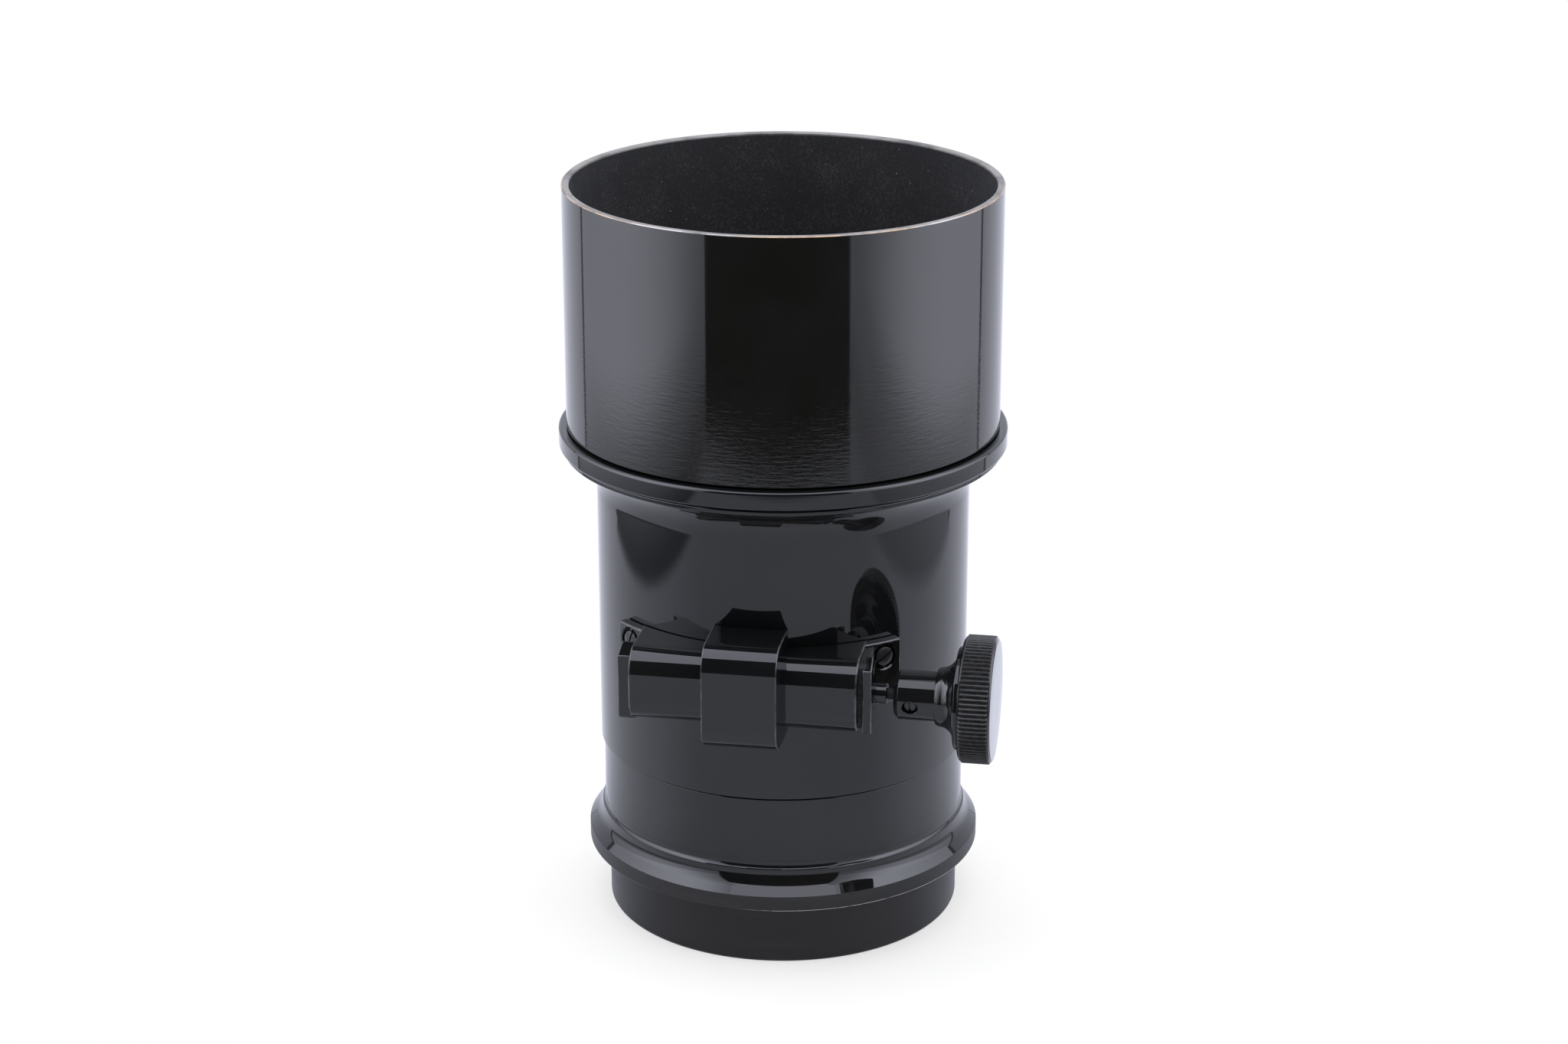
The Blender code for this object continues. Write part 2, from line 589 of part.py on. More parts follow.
# Inner barrel with the slot for drop-in stops
barrelTop = cellStep - FIT
innerBarrel = turned("inner_barrel", [
    (barrelRadius, barrelTop), (barrelRadius, barrelBase), (barrelBore, barrelBase), (barrelBore, barrelTop),
], "matte", carriage)
stopSlot = bmesh.new()
addBar(stopSlot, box(barrelBore * 0.4, SLEEVE_RADIUS + OVERRUN, slotBase, slotTop),
       -STOP_SLOT_WIDTH / 2, STOP_SLOT_WIDTH / 2)
stopSlot = tool("stop_slot", stopSlot, carriage)
combine(outerSleeve, stopSlot, "DIFFERENCE")
combine(innerBarrel, stopSlot, "DIFFERENCE")

# Rear cell and its air-spaced pair, stacked up from the retainer
rearLip = rearRadius - REAR_LIP
spacerBore = rearRadius - SPACER_WIDTH
rearRetainerBase = barrelBase + REAR_RETAINER_RISE
rearRetainerTop = rearRetainerBase + REAR_RETAINER_HEIGHT
rearCrownBack = rearRetainerTop + FIT - sag(spacerBore, REAR_CROWN_BACK)
rearCrownFront = (rearCrownBack + REAR_CROWN_EDGE + sag(rearRadius, REAR_CROWN_BACK)
                  + sag(rearRadius, REAR_CROWN_FRONT))
rearFlintBack = rearCrownFront + REAR_AIR_GAP
rearFlintFront = rearFlintBack + REAR_FLINT_THICKNESS
rearStop = rearFlintFront - sag(rearLip, REAR_FLINT_FRONT) + FIT
rearTop = rearStop + REAR_LIP_THICKNESS
rearBase = barrelBase - REAR_CELL_RIM
turned("rear_cell", [
    (neckRadius, rearTop), (neckRadius, barrelBase - FIT), (barrelRadius, barrelBase - FIT),
    (barrelRadius, rearBase), (rearBore, rearBase), (rearBore, rearStop), (rearLip, rearStop),
    (rearLip, rearTop),
], "matte", carriage)
turned("rear_flint", lensBody(rearRadius, -REAR_FLINT_FRONT, rearFlintFront, -REAR_FLINT_BACK, rearFlintBack),
       "glass", carriage, ring=False)
turned("rear_crown", lensBody(rearRadius, -REAR_CROWN_FRONT, rearCrownFront, REAR_CROWN_BACK, rearCrownBack),
       "glass", carriage, ring=False)
turned("rear_spacer", [
    (rearRadius, rearFlintBack + sag(rearRadius, -REAR_FLINT_BACK) - FIT),
    (rearRadius, rearCrownFront + sag(rearRadius, -REAR_CROWN_FRONT) + FIT),
    (spacerBore, rearCrownFront + sag(spacerBore, -REAR_CROWN_FRONT) + FIT),
    (spacerBore, rearFlintBack + sag(spacerBore, -REAR_FLINT_BACK) - FIT),
], "brass", carriage)
turned("rear_retainer", [
    (rearRadius, rearRetainerTop), (rearRadius, rearRetainerBase),
    (spacerBore, rearRetainerBase), (spacerBore, rearRetainerTop),
], "matte", carriage)


def roundedOutline(reach, low, high, lowRound, highRound):
    """Side outline of a housing shape that runs from inside the sleeve out to its front face."""
    outline = [(-housingBack, pinionHeight - low)]
    outline += arc((lowRound - reach, pinionHeight - low + lowRound), lowRound, 270, 180)
    outline += arc((highRound - reach, pinionHeight + high - highRound), highRound, 180, 90)
    return outline + [(-housingBack, pinionHeight + high)]


# Focusing housing: a saddle on the sleeve, a rounded bar, a centre block and two end plates
seatRadius = SLEEVE_RADIUS + FIT
saddleRadius = seatRadius + SADDLE_THICKNESS
earReach = plateOuter + EAR_SCREW_OFFSET
earAngle = math.asin(earReach / saddleRadius)
saddleHalf = math.asin((earReach + SADDLE_MARGIN) / saddleRadius)
housingBack = math.sqrt(SLEEVE_RADIUS ** 2 - plateOuter ** 2) - 2 * OVERRUN   # all of it inside the sleeve
saddle = bmesh.new()
addSector(saddle, SLEEVE_RADIUS - OVERRUN, saddleRadius, pinionHeight - SADDLE_DROP,
          pinionHeight + SADDLE_RISE, -math.pi / 2, 2 * saddleHalf, 16)
housing = softened(piece("focus_housing", saddle, "lacquer", carriage), HOUSING_ROUND)
bar = bmesh.new()
addBar(bar, roundedOutline(pinionReach + BAR_REACH, BAR_HEIGHT / 2, BAR_HEIGHT / 2, BAR_ROUND, BAR_ROUND),
       -plateInner, plateInner)
combine(housing, softened(tool("housing_bar", bar, carriage), HOUSING_ROUND), "UNION")
block = bmesh.new()
addBar(block, roundedOutline(pinionReach + BLOCK_REACH, BLOCK_DROP, BLOCK_RISE, BLOCK_FOOT, BLOCK_ROUND),
       -BLOCK_WIDTH / 2, BLOCK_WIDTH / 2)
combine(housing, softened(tool("housing_block", block, carriage), HOUSING_ROUND), "UNION")
for side, word in ((-1, "left"), (1, "right")):
    inner = side * (plateInner - PLATE_THICKNESS / 3)
    outer = side * plateOuter
    root = side * (plateOuter - PLATE_TAPER)
    front = -pinionReach - PLATE_REACH
    plate = bmesh.new()
    addSlab(plate, [(inner, -housingBack), (root, -housingBack), (outer, front), (inner, front)],
            pinionHeight - PLATE_HEIGHT / 2, pinionHeight + PLATE_HEIGHT / 2)
    combine(housing, softened(tool("housing_plate_" + word, plate, carriage), HOUSING_ROUND), "UNION")
seatReach = BLOCK_RISE + BLOCK_DROP + BAR_HEIGHT
seatCut = bmesh.new()
addRod(seatCut, [(seatRadius, pinionHeight - seatReach), (seatRadius, pinionHeight + seatReach)],
       steps=OUTER_STEPS)
combine(housing, tool("housing_seat", seatCut, carriage), "DIFFERENCE")
alongShaft = Matrix.Translation((0, -pinionReach, pinionHeight)) @ Matrix.Rotation(math.pi / 2, 4, "Y")
shaftWay = bmesh.new()
addRod(shaftWay, [(bushSeat, -plateInner), (bushSeat, -chamberHalf), (chamberRadius, -chamberHalf),
                  (chamberRadius, chamberHalf), (bushSeat, chamberHalf), (bushSeat, plateOuter + OVERRUN)],
       alongShaft)
combine(housing, tool("housing_bore", shaftWay, carriage), "DIFFERENCE")

# Screws that hold the housing's ears to the sleeve
earFloor = saddleRadius - EAR_RECESS
recessRadius = EAR_SCREW_HEAD + EAR_RECESS_GAP
for side, word in ((-1, "left"), (1, "right")):
    aim = (Matrix.Translation((0, 0, pinionHeight + EAR_SCREW_RISE))
           @ Matrix.Rotation(side * earAngle, 4, "Z") @ Matrix.Rotation(math.pi / 2, 4, "X"))
    shankHole = EAR_SCREW_SHANK + FIT
    hole = bmesh.new()
    addRod(hole, [(shankHole, sleeveBore - FIT), (shankHole, earFloor), (recessRadius, earFloor),
                  (recessRadius, pinionReach + BLOCK_REACH)], aim)
    hole = tool("ear_hole_" + word, hole, carriage)
    combine(housing, hole, "DIFFERENCE")
    combine(outerSleeve, hole, "DIFFERENCE")
    screw = bmesh.new()
    addRod(screw, [(EAR_SCREW_SHANK, sleeveBore + EDGE), (EAR_SCREW_SHANK, earFloor + FIT),
                   (EAR_SCREW_HEAD, earFloor + FIT), (EAR_SCREW_HEAD, saddleRadius - EDGE / 2),
                   (EAR_SCREW_HEAD - EDGE, saddleRadius + EDGE / 4)], aim)
    piece("ear_screw_" + word, screw, "blackened", carriage)

# Bearing bushes and pinion
leftEnd = FIT - plateInner
rightEnd = plateOuter - FIT
rightStart = plateInner - FIT - BUSH_LENGTH
for word, start, end in (("left", leftEnd, leftEnd + BUSH_LENGTH), ("right", rightStart, rightEnd)):
    bush = turned("shaft_bush_" + word, [
        (bushRadius, end), (bushRadius, start), (boreRadius, start), (boreRadius, end),
    ], "brass", carriage, SMALL_STEPS)
    bush.location = (0, -pinionReach, pinionHeight)
    bush.rotation_euler = (0, math.pi / 2, 0)
shaft = bmesh.new()
addRod(shaft, [(SHAFT_RADIUS, leftEnd + FIT), (SHAFT_RADIUS, boreEnd - FIT)],
       Matrix.Rotation(math.pi / 2, 4, "Y"))
piece("pinion_shaft", shaft, "blackened", pinionAxis)
pitchHalf = math.pi / PINION_TEETH / 2 - BACKLASH / 2 / pitchRadius
flanks = ((pinionRoot, pitchHalf * 1.5), (pitchRadius, pitchHalf), (pinionTip, pitchHalf * 0.42))
toothOutline = []
for i in range(PINION_TEETH):
    middle = 2 * math.pi * (i + 0.5) / PINION_TEETH
    toothOutline += [(r, middle - half) for r, half in flanks]
    toothOutline += [(r, middle + half) for r, half in reversed(flanks)]
gear = bmesh.new()
gearLoops = []
for x, bored in ((-1, False), (1, False), (1, True), (-1, True)):
    loop = []
    for r, a in toothOutline:
        r = boreRadius if bored else r
        loop.append(gear.verts.new((x * PINION_WIDTH / 2, r * math.cos(a), r * math.sin(a))))
    gearLoops.append(loop)
skinLoops(gear, gearLoops, ring=True)
piece("pinion_gear", gear, "brass", pinionAxis)

# Knob: hub, trumpet and knurled rim
discRadius = RIM_RADIUS - DISC_STEP
flareRadius = HUB_RADIUS + FLARE_STEP
flareStart = hubEnd + TRUMPET_LENGTH * 0.2
flareRun = discRadius - EDGE - flareRadius
hub = [(0, discEnd + OVERRUN), (discRadius, discEnd + OVERRUN), (discRadius, trumpetEnd + EDGE)]
for i in range(CURVE_STEPS + 1):
    turn = math.pi / 2 * (1 - i / CURVE_STEPS)
    hub.append((flareRadius + flareRun * (1 - math.cos(turn)),
                flareStart + (trumpetEnd - flareStart) * math.sin(turn)))
hub += [(flareRadius - EDGE / 4, hubEnd + TRUMPET_NECK), (HUB_RADIUS + FLARE_STEP * 0.4, hubEnd + EDGE / 2),
        (HUB_RADIUS, hubEnd), (HUB_RADIUS, hubStart + HUB_NOSE + 2 * EDGE),
        (HUB_RADIUS - EDGE, hubStart + HUB_NOSE), (HUB_RADIUS - HUB_NOSE, hubStart), (boreRadius, hubStart),
        (boreRadius, boreEnd), (0, boreEnd)]
knob = turned("focus_knob", hub, "lacquer", pinionAxis, ring=False)
knob.rotation_euler = (0, math.pi / 2, 0)
rim = bmesh.new()
rimLoops = []
chamferRadius = RIM_RADIUS - RIM_CHAMFER - KNURL_DEPTH
ribStart = discEnd + RIM_CHAMFER
ribEnd = rimEnd - RIM_CHAMFER
for x, ribbed in ((discEnd, False), (ribStart, True), (ribEnd, True), (rimEnd, False)):
    loop = []
    for i in range(2 * KNURL_COUNT):
        r = RIM_RADIUS - (i % 2) * KNURL_DEPTH if ribbed else chamferRadius
        a = math.pi * i / KNURL_COUNT
        loop.append(rim.verts.new((x, r * math.cos(a), r * math.sin(a))))
    rimLoops.append(loop)
skinLoops(rim, rimLoops)
combine(knob, tool("knob_rim", rim, pinionAxis), "UNION")
setAim = Matrix.Translation((hubStart + SET_SCREW_INSET, 0, 0)) @ Matrix.Rotation(SET_SCREW_ANGLE, 4, "X")
setBore = SET_SCREW_RADIUS + SET_SCREW_GAP
setHole = bmesh.new()
addRod(setHole, [(setBore, 0), (setBore, HUB_RADIUS + OVERRUN)], setAim)
combine(knob, tool("set_screw_hole", setHole, pinionAxis), "DIFFERENCE")
setScrew = bmesh.new()
addRod(setScrew, [(SET_SCREW_RADIUS, boreRadius), (SET_SCREW_RADIUS, HUB_RADIUS - SET_SCREW_SINK)], setAim)
piece("set_screw", setScrew, "blackened", pinionAxis)
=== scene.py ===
from math import cos, pi, radians, sin, sqrt, tan

import bmesh
import bpy
from mathutils import Matrix, Vector


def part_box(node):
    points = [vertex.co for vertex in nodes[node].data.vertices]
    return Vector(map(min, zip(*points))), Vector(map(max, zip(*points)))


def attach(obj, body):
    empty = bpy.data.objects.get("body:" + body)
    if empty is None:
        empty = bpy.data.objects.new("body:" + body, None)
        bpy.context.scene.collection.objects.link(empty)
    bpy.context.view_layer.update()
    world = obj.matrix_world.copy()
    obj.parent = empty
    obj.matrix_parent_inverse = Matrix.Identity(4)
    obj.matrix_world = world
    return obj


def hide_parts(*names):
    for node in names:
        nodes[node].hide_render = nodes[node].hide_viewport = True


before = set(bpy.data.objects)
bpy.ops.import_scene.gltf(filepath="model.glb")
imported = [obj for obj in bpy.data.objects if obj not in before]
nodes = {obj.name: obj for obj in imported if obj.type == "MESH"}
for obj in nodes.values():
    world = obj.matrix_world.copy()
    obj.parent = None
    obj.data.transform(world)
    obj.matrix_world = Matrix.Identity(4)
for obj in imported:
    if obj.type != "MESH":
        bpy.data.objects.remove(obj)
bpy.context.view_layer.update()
scene = bpy.context.scene
mm = 0.001
hair = 1e-7   # a length that counts as nothing
print("frame loaded,", len(nodes), "nodes")


# Shader wiring

class Value:
    def __init__(self, board, socket):
        self.board = board
        self.socket = socket

    def sum(self, operation, first, second):
        return self.board.node("ShaderNodeMath", {"operation": operation}, {0: first, 1: second})

    def __add__(self, other):
        return self.sum("ADD", self, other)

    def __radd__(self, other):
        return self.sum("ADD", other, self)

    def __sub__(self, other):
        return self.sum("SUBTRACT", self, other)

    def __rsub__(self, other):
        return self.sum("SUBTRACT", other, self)

    def __mul__(self, other):
        return self.sum("MULTIPLY", self, other)

    def __rmul__(self, other):
        return self.sum("MULTIPLY", other, self)

    def __truediv__(self, other):
        return self.sum("DIVIDE", self, other)

    def __rtruediv__(self, other):
        return self.sum("DIVIDE", other, self)

    def __pow__(self, other):
        return self.sum("POWER", self, other)

    def __rpow__(self, other):
        return self.sum("POWER", other, self)

    def __lt__(self, other):
        return self.sum("LESS_THAN", self, other)

    def __gt__(self, other):
        return self.sum("GREATER_THAN", self, other)

    def also(self, out):
        return Value(self.board, self.socket.node.outputs[out])


class Board:
    def __init__(self, tree):
        self.tree = tree
        tree.nodes.clear()

    def node(self, kind, settings, sockets, out=0):
        made = self.tree.nodes.new(kind)
        for name, setting in settings.items():
            setattr(made, name, setting)
        for name, given in sockets.items():
            if isinstance(given, Value):
                self.tree.links.new(given.socket, made.inputs[name])
            else:
                made.inputs[name].default_value = given
        return Value(self, made.outputs[out]) if made.outputs else None

    def stretched(self, place, scale):   # scale in cycles per metre along each axis
        return self.node("ShaderNodeVectorMath", {"operation": "MULTIPLY"}, {0: place, 1: scale})

    def noise(self, place, scale, detail=2, rough=0.5):
        return self.node("ShaderNodeTexNoise", {},
                         {"Vector": place, "Scale": scale, "Detail": detail, "Roughness": rough})

    def blend(self, factor, first, second):
        return self.node("ShaderNodeMix", {"data_type": "RGBA"}, {0: factor, 6: first, 7: second}, 2)

    def between(self, value, low, high):   # 0 at low, 1 at high
        return self.node("ShaderNodeMapRange", {"interpolation_type": "SMOOTHSTEP"},
                         {"Value": value, "From Min": low, "From Max": high})

    def specks(self, place, cell, share, size):   # share of the cells hold a speck of that radius
        near = self.node("ShaderNodeTexVoronoi", {}, {"Vector": place, "Scale": 1 / cell}, "Distance")
        pick = self.node("ShaderNodeSeparateColor", {}, {0: near.also("Color")})
        return (near < pick.also(1) * (size / cell)) * (pick < share)

    def bump(self, height, distance):
        return self.node("ShaderNodeBump", {}, {"Height": height, "Distance": distance, "Strength": 1.0})

    def surface(self, sockets):
        shader = self.node("ShaderNodeBsdfPrincipled", {}, sockets)
        self.node("ShaderNodeOutputMaterial", {}, {"Surface": shader})


def newFinish(name):
    material = bpy.data.materials.new(name)
    material.use_nodes = True
    board = Board(material.node_tree)
    place = board.node("ShaderNodeTexCoord", {}, {}, "Object")
    finishes[name] = material
    return board, place


finishes = {}

# Black lacquer over turned brass: fine turning marks, orange peel, smears and a little dust
lacquerLook = {
    "warm": (0.0064, 0.0063, 0.0056, 1), "cool": (0.0050, 0.0055, 0.0064, 1),
    "smear": (0.0092, 0.0092, 0.0092, 1), "smearRange": (0.35, 0.75), "dust": (0.42, 0.41, 0.40, 1),
    "rough": 0.022, "roughSpread": 0.04, "roughMiddle": 0.4, "dustRough": 0.5, "ior": 1.5,
    "streak": (1, 3, 0.6), "peel": (900, 2), "peelHeight": 0.00025, "wave": (230, 1), "waveHeight": 0.0028,
    "patch": (45, 4, 0.6), "dustHeight": 0.02, "specks": (5.5 * mm, 0.10, 0.14 * mm),
}
hoodMarks = {"calm": 0.26, "top": 114 * mm, "low": 97 * mm}


def lacquer(name, grain, streakHeight, tone, marks=None):
    look = lacquerLook
    board, place = newFinish(name)
    streak = board.noise(board.stretched(place, grain), *look["streak"])
    if marks:   # heavier turning marks towards the foot
        level = board.node("ShaderNodeSeparateXYZ", {}, {0: place}, 2)
        level = board.between(level, marks["top"], marks["low"])
        streak = streak * (marks["calm"] + level * (1 - marks["calm"]))
    peel = board.noise(place, *look["peel"])
    wave = board.noise(place, *look["wave"])
    patch = board.noise(place, *look["patch"])
    dust = board.specks(place, *look["specks"])
    colour = board.blend(board.between(patch, *look["smearRange"]), look[tone], look["smear"])
    rough = look["rough"] + (patch - look["roughMiddle"]) * look["roughSpread"] + dust * look["dustRough"]
    height = streak * streakHeight + peel * look["peelHeight"] + wave * look["waveHeight"]
    height = height + dust * look["dustHeight"]
    board.surface({
        "Base Color": board.blend(dust, colour, look["dust"]), "Roughness": rough, "IOR": look["ior"],
        "Normal": board.bump(height, mm),
    })


lacquer("lacquer", (150, 150, 1900), 0.0009, "cool")
lacquer("hoodLacquer", (330, 330, 2300), 0.014, "warm", hoodMarks)
lacquer("knobLacquer", (1500, 120, 120), 0.0008, "cool")
lacquer("castLacquer", (420, 420, 420), 0.0008, "cool")

# The knurl's satin lacquer, dusty in its grooves
look = {
    "black": (0.010, 0.010, 0.0105, 1), "dust": (0.03, 0.03, 0.031, 1), "dustRange": (0.35, 0.75),
    "grit": (1500, 4, 0.65), "gritRough": 0.12, "gritHeight": 0.0015 * mm, "rough": 0.36,
}
board, place = newFinish("knurlLacquer")
grit = board.noise(place, *look["grit"])
board.surface({
    "Base Color": board.blend(board.between(grit, *look["dustRange"]), look["black"], look["dust"]),
    "Roughness": look["rough"] + grit * look["gritRough"], "Normal": board.bump(grit, look["gritHeight"]),
})

# Edges where the lacquer has worn through to the metal
look = {
    "pale": (0.34, 0.325, 0.31, 1), "warm": (0.42, 0.28, 0.17, 1), "dull": (0.10, 0.098, 0.096, 1),
    "warmth": (55, 4, 0.6), "warmRange": (0.42, 0.62), "dullness": (160, 3, 0.6), "dullRange": (0.45, 0.7),
    "grain": (900, 900, 9000), "grainRough": 0.22, "grainHeight": 0.004 * mm, "metal": 0.6, "rough": 0.34,
}
board, place = newFinish("bareRim")
warmth = board.between(board.noise(place, *look["warmth"]), *look["warmRange"])
dullness = board.between(board.noise(place, *look["dullness"]), *look["dullRange"])
scratch = board.noise(board.stretched(place, look["grain"]), 1, 3)
tone = board.blend(dullness, board.blend(warmth, look["pale"], look["warm"]), look["dull"])
board.surface({
    "Base Color": tone, "Metallic": look["metal"], "Normal": board.bump(scratch, look["grainHeight"]),
    "Roughness": look["rough"] + scratch * look["grainRough"],
})

# Housing edges polished by hands and brightened with a painted highlight, the screws' blackened steel, and
# a painted highlight line at the bead's foot
rubbedAndHighlightLook = {
    # the housing's rounded edges: pale, partly metallic patches, partly rubbed metal and partly a painted
    # highlight along the edges
    "rubbedEdgeHighlight": {
        "dark": (0.012, 0.012, 0.0125, 1), "pale": (0.085, 0.085, 0.088, 1), "rubAndHighlight": (260, 3, 0.6),
        "rubAndHighlightRange": (0.36, 0.66), "rubAndHighlightMetal": 0.35, "rubAndHighlightRough": 0.14, "rough": 0.16,
        "grain": (2500, 2), "grainHeight": 0.001 * mm,
    },
    "blackSteel": {
        "dark": (0.014, 0.014, 0.0145, 1), "pale": (0.032, 0.031, 0.031, 1), "rubAndHighlight": (1300, 4, 0.7),
        "rubAndHighlightRange": (0.52, 0.8), "rubAndHighlightMetal": 0.4, "rubAndHighlightRough": 0.15, "rough": 0.3,
        "grain": (3000, 3), "grainHeight": 0.003 * mm,
    },
    # painted highlight: a pale line with gaps round the bead's foot edge, standing in for light caught by
    # that edge
    "paintedFootHighlight": {
        "dark": (0.006, 0.006, 0.0065, 1), "pale": (0.42, 0.42, 0.42, 1), "rubAndHighlight": (24, 2),
        "rubAndHighlightRange": (0.47, 0.64), "rubAndHighlightMetal": 0.4, "rubAndHighlightRough": 0.15, "rough": 0.3,
        "highlightGaps": (700, 3), "highlightGapRange": (0.25, 0.5),
    },
}
for name, look in rubbedAndHighlightLook.items():
    board, place = newFinish(name)
    rubAndHighlight = board.between(board.noise(place, *look["rubAndHighlight"]), *look["rubAndHighlightRange"])
    # gaps in the painted highlight line at the bead's foot
    if "highlightGaps" in look:
        rubAndHighlight = rubAndHighlight * board.between(board.noise(place, *look["highlightGaps"]), *look["highlightGapRange"])
    sockets = {
        "Base Color": board.blend(rubAndHighlight, look["dark"], look["pale"]), "Metallic": rubAndHighlight * look["rubAndHighlightMetal"],
        "Roughness": look["rough"] + rubAndHighlight * look["rubAndHighlightRough"],
    }
    if "grain" in look:
        sockets["Normal"] = board.bump(board.noise(place, *look["grain"]), look["grainHeight"])
    board.surface(sockets)

# The hood's top edge: thin lacquer rubbed down to grey metal
look = {
    "grey": (0.17, 0.165, 0.16, 1), "dark": (0.05, 0.05, 0.05, 1), "patch": (140, 4, 0.6),
    "darkRange": (0.4, 0.72), "metal": 0.25, "darkMetal": 0.2, "rough": 0.3, "grain": (900, 3),
    "grainRough": 0.15,
}
board, place = newFinish("rimTop")
dark = board.between(board.noise(place, *look["patch"]), *look["darkRange"])
board.surface({
    "Base Color": board.blend(dark, look["grey"], look["dark"]),
    "Metallic": look["metal"] - dark * look["darkMetal"],
    "Roughness": look["rough"] + board.noise(place, *look["grain"]) * look["grainRough"],
})

# Flat black paint inside the hood and on the lens cells, with pale dust in its tooth
look = {
    "black": (0.009, 0.009, 0.0098, 1), "grey": (0.054, 0.054, 0.056, 1), "dust": (0.2, 0.19, 0.18, 1),
    "tooth": (2600, 3, 0.7), "toothShare": 0.7, "toothRough": 0.3, "toothHeight": 0.03 * mm,
    "cloud": (120, 4, 0.6), "cloudShare": 0.3, "greyRange": (0.45, 0.8), "rough": 0.62, "shine": 0.3,
    "fleckCell": 1.1 * mm, "fleckSize": 0.11 * mm, "fleckShare": {"hoodFlat": 0.42, "cellFlat": 0.21},
}
for name, share in look["fleckShare"].items():
    board, place = newFinish(name)
    tooth = board.noise(place, *look["tooth"])
    cloud = board.noise(place, *look["cloud"])
    fleck = board.specks(place, look["fleckCell"], share, look["fleckSize"])
    grey = board.between(tooth * look["toothShare"] + cloud * look["cloudShare"], *look["greyRange"])
    tone = board.blend(grey, look["black"], look["grey"])
    board.surface({
        "Base Color": board.blend(fleck, tone, look["dust"]), "Specular IOR Level": look["shine"],
        "Roughness": look["rough"] + tooth * look["toothRough"],
        "Normal": board.bump(tooth, look["toothHeight"]),
    })

# Moulded plastic of the cap: satin, fine spark grain, a few rubbed marks
look = {
    "black": (0.024, 0.024, 0.026, 1), "rubbed": (0.032, 0.032, 0.034, 1), "dust": (0.2, 0.2, 0.2, 1),
    "sparks": (4200, 2), "sparkRough": 0.06, "sparkHeight": 0.004 * mm, "grain": (60, 60, 500),
    "rubAndHighlight": (1, 5, 0.65), "rubAndHighlightRange": (0.5, 0.8), "rubAndHighlightRough": 0.1, "rough": 0.3, "shine": 0.2,
    "specks": (6 * mm, 0.1, 0.16 * mm),
}
board, place = newFinish("capPlastic")
sparks = board.noise(place, *look["sparks"])
rubAndHighlight = board.between(board.noise(board.stretched(place, look["grain"]), *look["rubAndHighlight"]), *look["rubAndHighlightRange"])
dust = board.specks(place, *look["specks"])
board.surface({
    "Base Color": board.blend(dust, board.blend(rubAndHighlight, look["black"], look["rubbed"]), look["dust"]),
    "Roughness": look["rough"] + rubAndHighlight * look["rubAndHighlightRough"] + sparks * look["sparkRough"],
    "Specular IOR Level": look["shine"], "Normal": board.bump(sparks, look["sparkHeight"]),
})

# Bright metals inside: brass gear parts, steel screws and the plated bayonet
look = {
    "tones": {
        "brass": ((0.62, 0.42, 0.17, 1), (0.33, 0.20, 0.08, 1), 0.24),
        "brightSteel": ((0.55, 0.55, 0.56, 1), (0.30, 0.30, 0.31, 1), 0.22),
        "plating": ((0.60, 0.60, 0.61, 1), (0.42, 0.42, 0.43, 1), 0.14),
    },
    "tarnish": (260, 5, 0.65), "dullRange": (0.45, 0.75), "dullRough": 0.2, "grain": (300, 300, 6000),
    "grainRough": 0.1, "grainHeight": 0.003 * mm,
}
for name, (clean, dull, rough) in look["tones"].items():
    board, place = newFinish(name)
    tarnish = board.between(board.noise(place, *look["tarnish"]), *look["dullRange"])
    lines = board.noise(board.stretched(place, look["grain"]), 1, 3)
    board.surface({
        "Base Color": board.blend(tarnish, clean, dull), "Metallic": 1.0,
        "Roughness": rough + tarnish * look["dullRough"] + lines * look["grainRough"],
        "Normal": board.bump(lines, look["grainHeight"]),
    })

# Glass: a faint blue coating and a little dust
look = {
    "tint": (0.97, 0.98, 0.96, 1), "dust": (0.6, 0.6, 0.6, 1), "ior": 1.52, "haze": (180, 4, 0.6),
    "hazeRough": 0.03, "hazeCoat": 0.4, "rough": 0.01, "coatTint": (0.75, 0.82, 1, 1),
    "specks": (3.5 * mm, 0.2, 0.08 * mm),
}
board, place = newFinish("lensGlass")
haze = board.noise(place, *look["haze"])
dust = board.specks(place, *look["specks"])
board.surface({
    "Base Color": board.blend(dust, look["tint"], look["dust"]), "Transmission Weight": 1.0,
    "IOR": look["ior"], "Roughness": look["rough"] + haze * look["hazeRough"],
    "Coat Weight": haze * look["hazeCoat"], "Coat Tint": look["coatTint"],
})
print("finishes made:", ", ".join(finishes))


# Shapes

def eased(outline, closed, steps=5):   # rounds each corner (across, along, radius, finish); 0 if left out
    drawn = []
    count = len(outline)
    for i, point in enumerate(outline):
        across, along, radius, skin = (*point, 0, 0)[:4]
        corner = Vector((across, along))
        if not radius or (not closed and i in (0, count - 1)):
            drawn.append((across, along, skin))
            continue
        before = (Vector(outline[i - 1][:2]) - corner).normalized()
        after = (Vector(outline[(i + 1) % count][:2]) - corner).normalized()
        half = before.angle(after) / 2
        middle = corner + (before + after).normalized() * radius / sin(half)
        start = corner + before * radius / tan(half) - middle
        end = corner + after * radius / tan(half) - middle
        for j in range(steps + 1):
            spoke = start.lerp(end, j / steps).normalized() * radius
            drawn.append((middle.x + spoke.x, middle.y + spoke.y, skin))
    return drawn


def faced(bm):   # every face turned outwards
    bmesh.ops.recalc_face_normals(bm, faces=bm.faces)
    return bm


